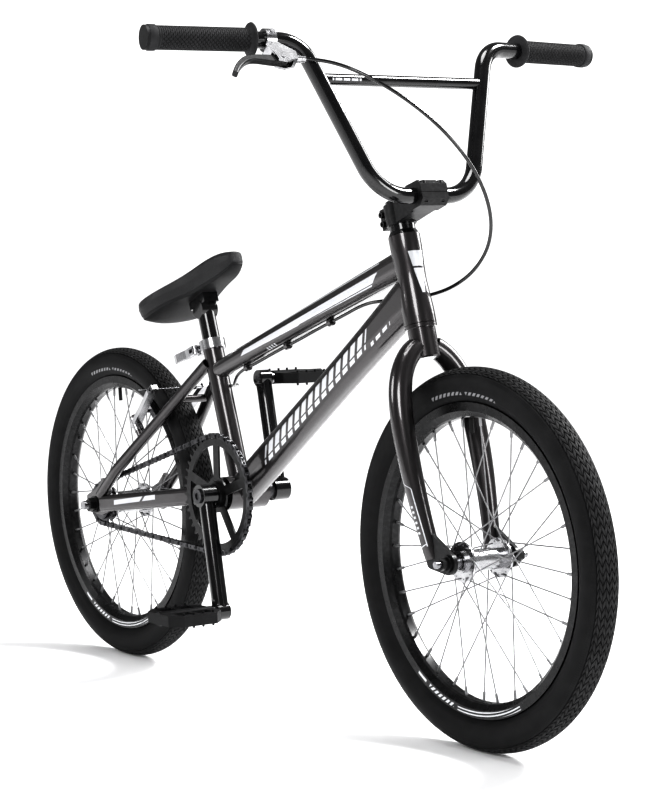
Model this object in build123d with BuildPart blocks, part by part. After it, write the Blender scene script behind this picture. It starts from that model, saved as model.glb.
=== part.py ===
from build123d import *
import os
from math import asin, atan2, cos, degrees, pi, radians, sin, sqrt, tan

# A 20 inch freestyle bicycle. Millimetres and degrees. X points forwards, Y to the
# rider's left, Z up. The origin is on the ground, midway between the two axles.

os.makedirs("parts", exist_ok=True)

# ---------------------------------------------------------------- driving sizes
wheelbase = 920.0
tyre_outer_radius = 253.0
tyre_section_radius = 24.5
rim_bead_radius = 203.0
rim_width = 31.2
spokes_per_wheel = 36

head_angle = 74.2
fork_offset = 34.0
head_tube_bottom = 326.4
head_tube_length = 124.0
seat_angle = 71.1
bottom_bracket_height = 296.0
seat_tube_length = 242.0

chain_pitch = 12.7
chain_links = 86
chainring_teeth = 44
cog_teeth = 16
chain_line = 45.0
roller_radius = 3.88

front_hub_gap = 100.0
rear_hub_gap = 110.0
crank_length = 175.0
crank_angle = 17.2

bar_radius = 11.1
bar_sweep = 9.0
bar_end = 366.0
bar_top_height = 934.0
bar_clamp = (487.3, 63.6)
fit = 0.05

steerer_radius = 14.3
seat_post_radius = 13.6
cable_radius = 2.5


# ---------------------------------------------------------------- reference points
def unit(x, y, z):
    return Vector(x, y, z).normalized()


side = Vector(0, 1, 0)
steer_up = unit(-cos(radians(head_angle)), 0, sin(radians(head_angle)))
steer_ahead = unit(sin(radians(head_angle)), 0, cos(radians(head_angle)))
seat_up = unit(-cos(radians(seat_angle)), 0, sin(radians(seat_angle)))
seat_ahead = unit(sin(radians(seat_angle)), 0, cos(radians(seat_angle)))

front_axle_centre = Vector(wheelbase / 2, 0, tyre_outer_radius)
rear_axle_centre = Vector(-wheelbase / 2, 0, tyre_outer_radius)
axis_foot = front_axle_centre - steer_ahead * fork_offset

ring_pitch_radius = chain_pitch / (2 * sin(pi / chainring_teeth))
cog_pitch_radius = chain_pitch / (2 * sin(pi / cog_teeth))


def links_for(distance):
    """Chain links that lie round both sprockets when their centres are this far apart."""
    lean = asin((ring_pitch_radius - cog_pitch_radius) / distance)
    on_ring = (pi + 2 * lean) * chainring_teeth / (2 * pi)
    on_cog = (pi - 2 * lean) * cog_teeth / (2 * pi)
    return 2 * distance * cos(lean) / chain_pitch + on_ring + on_cog


# the axle is slid back in its slots until the chain is just tight
centre_distance = 350.0
for turn in range(20):
    centre_distance += (chain_links - links_for(centre_distance)) * chain_pitch / 2
rise = bottom_bracket_height - tyre_outer_radius
bracket = rear_axle_centre + Vector(sqrt(centre_distance**2 - rise**2), 0, rise)


def steer(along, ahead=0.0, left=0.0):
    """A point measured up the steering axis, ahead of it and to the left of it."""
    return axis_foot + steer_up * along + steer_ahead * ahead + side * left


def seat(along, ahead=0.0, left=0.0):
    """The same along the seat tube, from the bottom bracket."""
    return bracket + seat_up * along + seat_ahead * ahead + side * left


steer_side = Plane(origin=axis_foot, x_dir=steer_ahead, z_dir=-side)
seat_side = Plane(origin=bracket, x_dir=seat_ahead, z_dir=-side)


def facing(origin, direction):
    return Plane(origin=origin, z_dir=direction)


def upright(left):
    """A plane of the bicycle's side view at this distance to the left, x forwards, y up."""
    return Plane(origin=(0, left, 0), x_dir=(1, 0, 0), z_dir=(0, -1, 0))


def rod(start, end, radius, mode=Mode.ADD):
    """A straight round bar inside the part being built."""
    with BuildSketch(facing(start, end - start)) as outline:
        Circle(radius)
    extrude(outline.sketch, amount=(end - start).length, mode=mode)


def plate(plane, points, thickness, mode=Mode.ADD, both=False):
    """A flat plate of this outline inside the part being built."""
    with BuildSketch(plane) as outline:
        Polygon(*points, align=None)
    extrude(outline.sketch, amount=thickness, mode=mode, both=both)


def keep(part, name):
    part.label = name
    export_step(part, f"parts/{name}.step")


def group(pieces, name):
    """Several separate solids kept in one file."""
    keep(Compound(children=[piece.part for piece in pieces]), name)


# ---------------------------------------------------------------- frame tubes
head_radius_end = 22.2
head_radius_waist = 19.6
head_bore = 16.5
head_seat_radius = 19.5
head_seat_depth = 8.0
head_tube_top = head_tube_bottom + head_tube_length

with BuildPart() as head_tube:
    middle = head_tube_bottom + head_tube_length / 2
    with BuildSketch(steer_side):
        with BuildLine():
            Line((0, head_tube_bottom), (head_radius_end, head_tube_bottom))
            Line((head_radius_end, head_tube_bottom), (head_radius_end, head_tube_bottom + 10))
            Spline(
                (head_radius_end, head_tube_bottom + 10),
                (head_radius_waist, middle),
                (head_radius_end - 0.4, head_tube_top - 9),
                tangents=((0, 1), (0, 1)),
            )
            Line((head_radius_end - 0.4, head_tube_top - 9), (head_radius_end - 0.4, head_tube_top))
            Line((head_radius_end - 0.4, head_tube_top), (0, head_tube_top))
            Line((0, head_tube_top), (0, head_tube_bottom))
        make_face()
    revolve(axis=Axis(axis_foot, steer_up))
    head_outside = head_tube.part
    rod(steer(head_tube_bottom), steer(head_tube_top), head_bore, Mode.SUBTRACT)
    rod(steer(head_tube_bottom), steer(head_tube_bottom + head_seat_depth), head_seat_radius, Mode.SUBTRACT)
    rod(steer(head_tube_top - head_seat_depth), steer(head_tube_top), head_seat_radius, Mode.SUBTRACT)

seat_tube_radius = 15.9
shell_radius = 25.5
shell_half = 34.0
shell_bore = 20.5

with BuildPart() as shell_outside:
    rod(bracket - side * shell_half, bracket + side * shell_half, shell_radius)

with BuildPart() as bottom_bracket_shell:
    add(shell_outside.part)
    rod(bracket - side * shell_half, bracket + side * shell_half, shell_bore, Mode.SUBTRACT)

with BuildPart() as seat_tube_outside:
    rod(bracket, seat(seat_tube_length), seat_tube_radius)

with BuildPart() as seat_tube:
    add(seat_tube_outside.part)
    rod(bracket, seat(seat_tube_length), seat_post_radius + fit, Mode.SUBTRACT)
    # the slot that lets the collar squeeze the seat post
    with BuildSketch(facing(seat(seat_tube_length - 26, -seat_tube_radius), seat_up)):
        Rectangle(12, 2)
    extrude(amount=30, mode=Mode.SUBTRACT)
    add(shell_outside.part, mode=Mode.SUBTRACT)

tube_wall = 2.0


def box_tube(stations, cuts, solid=False):
    """A straight hollow tube of rounded section, lofted through its stations, cut by its neighbours."""
    start = stations[0][0]
    direction = (stations[-1][0] - start).normalized()
    with BuildPart() as tube:
        for centre, width, height, corner in stations:
            with BuildSketch(Plane(origin=centre, x_dir=side, z_dir=direction)):
                RectangleRounded(width, height, corner)
        loft()
        if not solid:
            for centre, width, height, corner in stations:
                with BuildSketch(Plane(origin=centre, x_dir=side, z_dir=direction)):
                    RectangleRounded(width - 2 * tube_wall, height - 2 * tube_wall, corner - tube_wall)
            loft(mode=Mode.SUBTRACT)
        for cut in cuts:
            add(cut, mode=Mode.SUBTRACT)
    return tube.part


top_tube_rear = seat(191.5)
top_tube_front = steer(415.0)
top_tube_run = (top_tube_front - top_tube_rear).normalized()
top_tube_normal = top_tube_run.cross(side)
top_tube_length = (top_tube_front - top_tube_rear).length
top_tube_ends = (27.0, 39.0)
down_tube_front = steer(370.0)
down_tube_run = (down_tube_front - bracket).normalized()
down_tube_length = (down_tube_front - bracket).length

down_tube_stations = [
    (bracket, 44, 49, 19),
    (bracket + down_tube_run * (0.42 * down_tube_length), 44, 48.5, 19),
    (bracket + down_tube_run * (0.78 * down_tube_length), 43, 50, 18),
    (down_tube_front, 40, 60, 18),
]
top_tube_stations = [
    (top_tube_rear, 27, top_tube_ends[0], 12),
    (top_tube_front, 36, top_tube_ends[1], 15.5),
]
seat_cut = seat_tube_outside.part
down_tube_part = box_tube(down_tube_stations, [head_outside, shell_outside.part, seat_cut])
top_tube_block = box_tube(top_tube_stations, [], solid=True)
top_tube_part = box_tube(top_tube_stations, [head_outside, seat_cut])
with BuildPart() as down_tube:
    add(down_tube_part)
    add(top_tube_block, mode=Mode.SUBTRACT)

with BuildPart() as top_tube:
    add(top_tube_part)


# ---------------------------------------------------------------- stays and dropouts
dropout_inner = rear_hub_gap / 2
dropout_thickness = 6.0
stay_angle = 40.2
stay_run = unit(cos(radians(stay_angle)), 0, sin(radians(stay_angle)))
stay_out = unit(-sin(radians(stay_angle)), 0, cos(radians(stay_angle)))
seat_stay_radius = 9.0
rear_axle_radius = 7.0
axle_slot_radius = 7.1


def stay(along, away=0.0, left=0.0):
    """A point measured along the seat stays from the rear axle, away from them rearwards, and left."""
    return rear_axle_centre + stay_run * along + stay_out * away + side * left


def dropout_outline():
    """Plate round the rear axle with its slot opening rearwards, the arms reaching both stays."""
    axle = (rear_axle_centre.X, rear_axle_centre.Z)
    Polygon(
        (axle[0] - 27, axle[1] - 13),
        (axle[0] - 27, axle[1] + 13),
        (axle[0] + 6, axle[1] + 27),
        (axle[0] + 26, axle[1] + 46),
        (axle[0] + 42, axle[1] + 32),
        (axle[0] + 34, axle[1] + 14),
        (axle[0] + 58, axle[1] + 14),
        (axle[0] + 58, axle[1] - 4),
        (axle[0] + 20, axle[1] - 16),
        align=None,
    )


dropouts = []
for hand in (-1, 1):
    with BuildPart() as dropout:
        with BuildSketch(upright(hand * dropout_inner)):
            dropout_outline()
        extrude(amount=-hand * dropout_thickness)
        fillet(dropout.edges().filter_by(Axis.Y), radius=3)
        slot_mouth = Vector(-40, 0, 0)
        with BuildSketch(upright(hand * (dropout_inner - 1))):
            with Locations((rear_axle_centre.X, rear_axle_centre.Z)):
                Circle(axle_slot_radius)
            with Locations((rear_axle_centre.X - 25, rear_axle_centre.Z)):
                Rectangle(50, 2 * axle_slot_radius)
        extrude(amount=-hand * (dropout_thickness + 2), mode=Mode.SUBTRACT)
    dropouts.append(dropout)


def swept_tube(points, radii, outline, hollow, cuts):
    """A bent tube: an outline swept along straight runs joined by arcs, then bored and cut."""
    with BuildPart() as tube:
        with BuildLine() as path:
            FilletPolyline(*points, radius=radii)
        with BuildSketch(Plane(origin=path.line @ 0, x_dir=side, z_dir=path.line % 0)):
            outline(0)
        sweep(path=path.line)
        if hollow:
            with BuildSketch(Plane(origin=path.line @ 0, x_dir=side, z_dir=path.line % 0)):
                outline(tube_wall)
            sweep(path=path.line, mode=Mode.SUBTRACT)
        for cut in cuts:
            add(cut, mode=Mode.SUBTRACT)
        for offcut in tube.solids().sort_by(SortBy.VOLUME)[:-1]:
            add(offcut, mode=Mode.SUBTRACT)
    return tube.part


def chain_stay_outline(inset):
    RectangleRounded(14 - 2 * inset, 27 - 2 * inset, 6.8 - inset)


def seat_stay_outline(inset):
    Circle(seat_stay_radius - inset)


def along_chain_stay(forward, left):
    """A point on the line from the rear axle to the bottom bracket."""
    share = forward / (bracket.X - rear_axle_centre.X)
    return rear_axle_centre + Vector(forward, left, rise * share)


chain_stays = []
seat_stays = []
for hand, dropout in zip((-1, 1), dropouts):
    lower = [
        along_chain_stay(24, hand * 60.5),
        along_chain_stay(120, hand * 50.5),
        along_chain_stay(226, hand * 38.6),
        along_chain_stay(268, hand * 32.6),
        along_chain_stay(345, hand * 24.5),
    ]
    cuts = [dropout.part, shell_outside.part, seat_cut]
    chain_stays.append(swept_tube(lower, (300, 200, 200), chain_stay_outline, True, cuts))
    upper = [
        stay(26, 0, hand * 60.8),
        stay(96, 0, hand * 60.6),
        stay(188, 0, hand * 44.5),
        stay(366, 0, hand * 14.0),
    ]
    cuts = [dropout.part, seat_cut, top_tube_block, chain_stays[-1]]
    seat_stays.append(swept_tube(upper, (150, 300), seat_stay_outline, True, cuts))

with BuildPart() as chain_stay_right:
    add(chain_stays[0])
with BuildPart() as chain_stay_left:
    add(chain_stays[1])
    add(chain_stays[0], mode=Mode.SUBTRACT)
with BuildPart() as seat_stay_right:
    add(seat_stays[0])
with BuildPart() as seat_stay_left:
    add(seat_stays[1])
    add(seat_stays[0], mode=Mode.SUBTRACT)

bridge_radius = 6.0
with BuildPart() as stay_bridges:
    rod(stay(277, 0, -30), stay(277, 0, 30), bridge_radius)
    rod(along_chain_stay(276, -30), along_chain_stay(276, 30), bridge_radius)
    for piece in (seat_stays + chain_stays):
        add(piece, mode=Mode.SUBTRACT)
    for solid in stay_bridges.solids().sort_by(SortBy.VOLUME)[:-2]:
        add(solid, mode=Mode.SUBTRACT)

# ---------------------------------------------------------------- headset and bearings
def bearing(centre, axis, inner, outer, height, balls):
    """A cartridge bearing as an outer ring, an inner ring and its balls."""
    wall = (outer - inner) * 0.28
    ball_radius = (outer - inner - 2 * wall) / 2 - 0.05
    middle_radius = (inner + outer) / 2
    rings = []
    for low, high in ((inner, inner + wall), (outer - wall, outer)):
        with BuildPart() as ring:
            rod(centre, centre + axis * height, high)
            rod(centre, centre + axis * height, low, Mode.SUBTRACT)
        rings.append(ring)
    with BuildPart() as ball_set:
        with Locations(facing(centre + axis * (height / 2), axis)):
            with PolarLocations(middle_radius, balls):
                Sphere(ball_radius)
    return rings + [ball_set]


headset_bearings = []
for along in (head_tube_bottom + 0.3, head_tube_top - 7.7):
    headset_bearings += bearing(steer(along), steer_up, steerer_radius + fit, head_seat_radius - 0.02, 7.4, 18)

spindle_radius = 9.5
bracket_bearings = []
for hand in (-1, 1):
    inner_face = bracket + side * (hand * (shell_half - 9))
    bracket_bearings += bearing(
        inner_face, side * hand, spindle_radius + fit, shell_bore - 0.02, 8.5, 10
    )

# ---------------------------------------------------------------- seat clamp, post and saddle
clamp_radius = 20.0
clamp_low = 226.0
clamp_high = 241.0
clamp_middle = (clamp_low + clamp_high) / 2
skewer_back = -25.0
ear_face = 10.5

with BuildPart() as collar:
    rod(seat(clamp_low), seat(clamp_high), clamp_radius)
    ears = facing(seat(clamp_low), seat_up)
    plate(
        Plane(origin=seat(clamp_low), x_dir=seat_ahead, z_dir=seat_up),
        [(-31, -ear_face), (-31, ear_face), (-12, ear_face), (-12, -ear_face)],
        clamp_high - clamp_low,
    )
    rod(seat(clamp_low - 1), seat(clamp_high + 1), seat_tube_radius + 0.03, Mode.SUBTRACT)
    plate(
        Plane(origin=seat(clamp_low - 1), x_dir=seat_ahead, z_dir=seat_up),
        [(-40, -1.4), (-40, 1.4), (-10, 1.4), (-10, -1.4)],
        clamp_high - clamp_low + 2,
        Mode.SUBTRACT,
    )
    rod(seat(clamp_middle, skewer_back, -15), seat(clamp_middle, skewer_back, 15), 2.7, Mode.SUBTRACT)

cam_left = -17.5
with BuildPart() as skewer:
    rod(seat(clamp_middle, skewer_back, cam_left), seat(clamp_middle, skewer_back, 16), 2.5)
    rod(seat(clamp_middle, skewer_back, ear_face + 0.1), seat(clamp_middle, skewer_back, 18), 6.0)
    rod(seat(clamp_middle - 2.9, skewer_back, cam_left), seat(clamp_middle + 2.9, skewer_back, cam_left), 4.2)
    rod(seat(clamp_middle - 7, skewer_back, cam_left), seat(clamp_middle + 7, skewer_back, cam_left), 2.0)

lever_reach = 50.0
with BuildPart() as qr_lever:
    cam = Plane(origin=seat(clamp_middle, skewer_back, cam_left), x_dir=-seat_ahead, z_dir=seat_up)
    with BuildSketch(cam.offset(-6.5)):
        Circle(6.2)
        with BuildLine():
            Polyline((0, -6), (0, 6), (20, 5.4), (lever_reach - 8, 9.5), (lever_reach, 8), (lever_reach, 5.5),
                     (lever_reach - 12, 3), (22, -3.5), close=True)
        make_face()
    extrude(amount=13)
    fillet(qr_lever.edges().filter_by(lambda e: e.length > 12.9 and e.length < 13.1), radius=1.2)
    with BuildSketch(cam.offset(-3.2)):
        Rectangle(17, 30)
    extrude(amount=6.4, mode=Mode.SUBTRACT)
    rod(seat(clamp_middle - 8, skewer_back, cam_left), seat(clamp_middle + 8, skewer_back, cam_left), 2.0 + fit,
        Mode.SUBTRACT)

post_low = 125.0
post_high = 290.0
saddle_tilt = 20.0
saddle_run = unit(cos(radians(saddle_tilt)), 0, sin(radians(saddle_tilt)))
saddle_up = unit(-sin(radians(saddle_tilt)), 0, cos(radians(saddle_tilt)))
saddle_seat = seat(305)

# distance along the saddle from the post, half width, underside and top
saddle_sections = [
    (-125, 40, 6, 36),
    (-95, 66, -4, 39),
    (-50, 57, 0, 41),
    (0, 33, 6, 46),
    (55, 22, 8, 51),
    (100, 18, 10, 47),
    (117, 12, 18, 40),
]
with BuildPart() as saddle:
    for along, half, low, high in saddle_sections:
        centre = saddle_seat + saddle_run * along + saddle_up * ((low + high) / 2)
        with BuildSketch(Plane(origin=centre, x_dir=side, z_dir=saddle_run)):
            RectangleRounded(2 * half, high - low, 0.42 * (high - low))
    loft()

with BuildPart() as seat_post:
    rod(seat(post_low), seat(post_high), seat_post_radius)
    rod(saddle_seat - saddle_up * 14 - side * 14, saddle_seat - saddle_up * 14 + side * 14, 14.0)
    plate(
        Plane(origin=saddle_seat - saddle_up * 8, x_dir=saddle_run, z_dir=saddle_up),
        [(-22, -13), (-22, 13), (22, 13), (22, -13)],
        18,
    )
    add(saddle.part, mode=Mode.SUBTRACT)
    rod(seat(post_low), seat(post_high - 8), seat_post_radius - 2.2, Mode.SUBTRACT)

# ---------------------------------------------------------------- fork
crown_bottom = 279.0
crown_top = head_tube_bottom - 0.6
steerer_top = 494.0
crown_radius = 19.0

with BuildPart() as crown_block:
    rod(steer(crown_bottom), steer(crown_top), crown_radius)
    rod(steer(crown_top - 5), steer(crown_top), 22.0)
    chamfer(crown_block.edges().filter_by(GeomType.CIRCLE).sort_by(Axis(axis_foot, steer_up))[0], length=2)

with BuildPart() as fork_steerer:
    add(crown_block.part)
    rod(steer(crown_top - 1), steer(steerer_top), steerer_radius)
    rod(steer(crown_bottom + 22), steer(steerer_top), 12.2, Mode.SUBTRACT)

# distance up the steering axis, distance sideways and radius of a fork leg
leg_stations = [
    (12, 50.0, 11.0),
    (45, 53.5, 12.0),
    (100, 58.5, 13.6),
    (160, 60.5, 15.0),
    (210, 58.5, 15.6),
    (248, 51.0, 15.6),
    (276, 36.5, 15.2),
    (296, 14.0, 14.5),
]
fork_plate_inner = front_hub_gap / 2
fork_plate_thickness = 6.0
front_axle_radius = 4.75


def leg_sections(hand, inset, stations):
    """Circles across the leg, each square to the line through its neighbours."""
    sections = []
    for index, (along, left, radius) in enumerate(stations):
        before = stations[max(index - 1, 0)]
        after = stations[min(index + 1, len(stations) - 1)]
        heading = steer_up * (after[0] - before[0]) + side * (hand * (after[1] - before[1]))
        centre = steer(along, 0, hand * left)
        with BuildSketch(Plane(origin=centre, x_dir=steer_ahead, z_dir=heading)) as section:
            Circle(radius - inset)
        sections.append(section.sketch)
    return sections


fork_plates = []
fork_legs = []
for hand in (-1, 1):
    with BuildPart() as fork_plate:
        plane = steer_side.offset(-hand * fork_plate_inner)
        with BuildSketch(plane):
            with Locations((fork_offset, 0)):
                Circle(15)
            with Locations((0, 8)):
                Circle(9)
            with Locations((0, 44)):
                Circle(8)
            make_hull()
            with Locations((fork_offset, 0)):
                Circle(front_axle_radius + 0.2, mode=Mode.SUBTRACT)
        extrude(amount=-hand * fork_plate_thickness)
    fork_plates.append(fork_plate)
    with BuildPart() as leg:
        loft(leg_sections(hand, 0, leg_stations))
        loft(leg_sections(hand, 2, leg_stations[2:]), mode=Mode.SUBTRACT)
        add(crown_block.part, mode=Mode.SUBTRACT)
        add(fork_plate.part, mode=Mode.SUBTRACT)
    fork_legs.append(leg)

# ---------------------------------------------------------------- stem and headset top
stem_low = 466.0
stem_high = 495.0
stem_half = 22.0
split = bar_clamp[0]
bar_centre = steer(bar_clamp[0], bar_clamp[1])
bolt_spots = [(ahead, left) for ahead in (-14.6, 14.6) for left in (-14.0, 14.0)]
cap_top = 505.0

with BuildPart() as headset_cover:
    with BuildSketch(facing(steer(head_tube_top + 0.5), steer_up)):
        Circle(21.4)
    with BuildSketch(facing(steer(head_tube_top + 6.5), steer_up)):
        Circle(18.2)
    loft()
    rod(steer(head_tube_top), steer(head_tube_top + 8), steerer_radius + fit, Mode.SUBTRACT)

spacers = [headset_cover]
for low, high in ((head_tube_top + 6.6, head_tube_top + 10.9), (head_tube_top + 11.0, stem_low - 0.1)):
    with BuildPart() as spacer:
        rod(steer(low), steer(high), 17.6)
        rod(steer(low), steer(high), steerer_radius + fit, Mode.SUBTRACT)
    spacers.append(spacer)

with BuildPart() as steerer_cap:
    rod(steer(stem_high + 0.2), steer(stem_high + 4.5), 17.0)
    rod(steer(stem_high), steer(stem_high + 5), 3.1, Mode.SUBTRACT)
spacers.append(steerer_cap)

with BuildPart() as stem_body:
    rod(steer(stem_low), steer(stem_high), 20.5)
    with BuildSketch(steer_side):
        with BuildLine():
            Polyline((0, stem_low), (0, stem_high), (30, stem_high), (46, split - 0.3), (83, split - 0.3),
                     (83, split - 9), (74, split - 16.5), (54, split - 17.5), close=True)
        make_face()
    extrude(amount=17, both=True)
    with BuildSketch(steer_side):
        with BuildLine():
            Polyline((45, split - 0.3), (83, split - 0.3), (83, split - 9), (74, split - 16.5),
                     (54, split - 17.5), (45, split - 15), close=True)
        make_face()
    extrude(amount=stem_half, both=True)
    plate(
        Plane(origin=steer(stem_low), x_dir=steer_ahead, z_dir=steer_up),
        [(-29, -11), (-29, 11), (-10, 11), (-10, -11)],
        stem_high - stem_low,
    )
    rod(steer(stem_low - 1), steer(stem_high + 1), steerer_radius + 0.03, Mode.SUBTRACT)
    plate(
        Plane(origin=steer(stem_low - 1), x_dir=steer_ahead, z_dir=steer_up),
        [(-40, -1), (-40, 1), (-10, 1), (-10, -1)],
        stem_high - stem_low + 2,
        Mode.SUBTRACT,
    )
    rod(bar_centre - side * 30, bar_centre + side * 30, bar_radius + 0.03, Mode.SUBTRACT)
    for ahead, left in bolt_spots:
        top = steer(split, bar_clamp[1] + ahead, left)
        rod(top, top - steer_up * 13, 2.6, Mode.SUBTRACT)
    for along in (474.0, 487.0):
        rod(steer(along, -23.5, -12), steer(along, -23.5, 12), 2.6, Mode.SUBTRACT)

with BuildPart() as stem_cap:
    with BuildSketch(steer_side):
        with BuildLine():
            Polyline((45, split + 0.3), (45, split + 11), (51, cap_top), (77, cap_top), (83, split + 11),
                     (83, split + 0.3), close=True)
        make_face()
    extrude(amount=stem_half, both=True)
    rod(bar_centre - side * 30, bar_centre + side * 30, bar_radius + 0.03, Mode.SUBTRACT)
    for ahead, left in bolt_spots:
        low = steer(split, bar_clamp[1] + ahead, left)
        rod(low, low + steer_up * 30, 2.6, Mode.SUBTRACT)
        rod(low + steer_up * 11, low + steer_up * 30, 4.6, Mode.SUBTRACT)


def cap_screw(head_face, direction, shank, length, head, head_height):
    """A socket screw: its head above the face, its shank below it, a hexagon socket in the head."""
    with BuildPart() as screw:
        rod(head_face, head_face + direction * head_height, head)
        rod(head_face - direction * length, head_face, shank)
        with BuildSketch(facing(head_face + direction * head_height, direction)):
            RegularPolygon(head * 0.52, 6)
        extrude(amount=-head_height * 0.6, mode=Mode.SUBTRACT)
    return screw


stem_bolts = []
for ahead, left in bolt_spots:
    seat_face = steer(split + 11.1, bar_clamp[1] + ahead, left)
    stem_bolts.append(cap_screw(seat_face, steer_up, 2.5, 23, 4.4, 5))
for along in (474.0, 487.0):
    stem_bolts.append(cap_screw(steer(along, -23.5, -11.1), -side, 2.5, 22, 4.2, 4))
stem_bolts.append(cap_screw(steer(stem_high + 4.6), steer_up, 3.0, 24, 5.0, 3.2))

# ---------------------------------------------------------------- handlebar
bar_lean = 17.8
bar_rise = bar_top_height - bar_centre.Z
bar_low_half = 77.0
bar_top_half = 156.0
bar_top_x = bar_centre.X - bar_rise * tan(radians(bar_lean))
sweep_back = tan(radians(bar_sweep))


def bar_line(left):
    """A point on the swept-back bar end at this distance to the left, negative on the right."""
    return Vector(bar_top_x - (abs(left) - bar_top_half) * sweep_back, left, bar_top_height)


bar_points = [
    bar_line(-bar_end),
    bar_line(-bar_top_half),
    bar_centre - side * bar_low_half,
    bar_centre + side * bar_low_half,
    bar_line(bar_top_half),
    bar_line(bar_end),
]
bar_bends = (46, 62, 62, 46)


def swept_bar(radius, mode=Mode.ADD):
    with BuildLine() as path:
        FilletPolyline(*bar_points, radius=bar_bends)
    with BuildSketch(facing(path.line @ 0, path.line % 0)) as outline:
        Circle(radius)
    sweep(outline.sketch, path=path.line, mode=mode)


with BuildPart() as bar_solid:
    swept_bar(bar_radius)

with BuildPart() as handlebar:
    add(bar_solid.part)
    swept_bar(bar_radius - 1.9, Mode.SUBTRACT)

crossbar_share = (884.0 - bar_centre.Z) / bar_rise
crossbar_x = bar_centre.X + (bar_top_x - bar_centre.X) * crossbar_share
crossbar_half = bar_low_half + (bar_top_half - bar_low_half) * crossbar_share
with BuildPart() as crossbar:
    rod(Vector(crossbar_x, -crossbar_half, 884), Vector(crossbar_x, crossbar_half, 884), 7.8)
    rod(Vector(crossbar_x, -crossbar_half, 884), Vector(crossbar_x, crossbar_half, 884), 6.4, Mode.SUBTRACT)
    add(bar_solid.part, mode=Mode.SUBTRACT)
    for solid in crossbar.solids().sort_by(SortBy.VOLUME)[:-1]:
        add(solid, mode=Mode.SUBTRACT)

grip_start = 222.0
grip_end = 367.0
grips = []
plugs = []
for hand in (-1, 1):
    outward = (bar_line(hand * grip_end) - bar_line(hand * grip_start)).normalized()
    start = bar_line(hand * grip_start)
    length = (bar_line(hand * grip_end) - start).length
    with BuildPart() as grip:
        rod(start, start + outward * length, 15.6)
        rod(start, start + outward * 4.5, 23.0)
        rod(start + outward * (length - 12), start + outward * length, 17.0)
        rod(start - outward, start + outward * (length + 1), bar_radius + 0.04, Mode.SUBTRACT)
    grips.append(grip)
    with BuildPart() as plug:
        end = start + outward * (length + 0.1)
        rod(end, end + outward * 4, 16.0)
        rod(end - outward * 18, end, bar_radius - 2.0)
    plugs.append(plug)

# ---------------------------------------------------------------- brake lever
lever_spot = 200.0
lever_drop = 48.0
lever_origin = bar_line(-lever_spot)
lever_out = (bar_line(-bar_end) - lever_origin).normalized()
lever_fall = unit(cos(radians(lever_drop)), 0, -sin(radians(lever_drop)))
lever_away = (lever_fall - lever_out * lever_fall.dot(lever_out)).normalized()
lever_pin = lever_out.cross(lever_away)
lever_plane = Plane(origin=lever_origin, x_dir=lever_out, z_dir=lever_pin)
lever_pivot = (-8.0, 38.0)
cable_offset = 34.0


def by_lever(outwards, away, along_pin=0.0):
    """A point near the lever: along the bar, away from it, and along the lever's pin."""
    return lever_origin + lever_out * outwards + lever_away * away + lever_pin * along_pin


with BuildPart() as lever_body:
    plate(lever_plane, [(-8, 12), (8, 12), (11, 18), (3, 30), (0, 43), (-12, 46), (-28, 41), (-28, 28), (-17, 19)],
          8.5, both=True)
    fillet(lever_body.edges().filter_by(lambda e: abs(e.length - 17) < 0.01), radius=1.5)
    rod(by_lever(-7, 0), by_lever(7, 0), 15.2)
    rod(by_lever(-30, 0), by_lever(30, 0), bar_radius + 0.04, Mode.SUBTRACT)
    with BuildSketch(lever_plane.offset(-5.3)):
        with Locations((6, 43)):
            Rectangle(56, 31)
    extrude(amount=10.6, mode=Mode.SUBTRACT)
    rod(by_lever(-20, cable_offset), by_lever(-30, cable_offset), 2.6, Mode.SUBTRACT)
    rod(by_lever(*lever_pivot, -9), by_lever(*lever_pivot, 9), 2.55, Mode.SUBTRACT)

with BuildPart() as lever_hinge:
    rod(by_lever(*lever_pivot, -9.5), by_lever(*lever_pivot, 9.5), 2.5)

with BuildPart() as adjuster:
    rod(by_lever(-28.1, cable_offset), by_lever(-34, cable_offset), 5.6)
    rod(by_lever(-34, cable_offset), by_lever(-42, cable_offset), 4.4)

with BuildPart() as clamp_screw:
    rod(by_lever(0, 2, 13.0), by_lever(0, 2, 20), 3.4)
    add(lever_body.part, mode=Mode.SUBTRACT)

with BuildPart() as brake_lever:
    with BuildSketch(lever_plane.offset(-4.8)):
        with BuildLine():
            Spline((-14, 33), (0, 31.5), (22, 30.5), (42, 33), (57, 44), (69, 62))
            Line((69, 62), (63, 66))
            Spline((63, 66), (52, 51), (38, 42), (20, 42.5), (0, 45), (-14, 43))
            Line((-14, 43), (-14, 33))
        make_face()
    extrude(amount=9.6)
    fillet(brake_lever.edges().filter_by(GeomType.BSPLINE), radius=2.2)
    rod(by_lever(*lever_pivot, -9), by_lever(*lever_pivot, 9), 2.5 + fit, Mode.SUBTRACT)

# ---------------------------------------------------------------- rim brake
boss_along = 168.0
boss_left = 40.0
wire_along = 256.0
wire_away = 38.0
arm_low = 34.0
arm_thickness = 8.0
pad_radius_from_axle = 202.0
pad_gap = 1.8
rim_half = rim_width / 2
brake_plane = Plane(origin=rear_axle_centre, x_dir=stay_run, z_dir=stay_out)

brake_bosses = []
for hand, piece in zip((-1, 1), seat_stays):
    with BuildPart() as boss:
        rod(stay(boss_along, 0, hand * boss_left), stay(boss_along, 21.6, hand * boss_left), 7.5)
        rod(stay(boss_along, 21, hand * boss_left), stay(boss_along, 46.4, hand * boss_left), 4.0)
        rod(stay(boss_along, 46.4, hand * boss_left), stay(boss_along, 50.5, hand * boss_left), 6.5)
        with BuildSketch(upright(-100)):
            with Locations((stay(boss_along).X, stay(boss_along).Z)):
                Circle(9.1)
        add(piece, mode=Mode.SUBTRACT)
        for solid in boss.solids().sort_by(SortBy.VOLUME)[:-1]:
            add(solid, mode=Mode.SUBTRACT)
    brake_bosses.append(boss)

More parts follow.
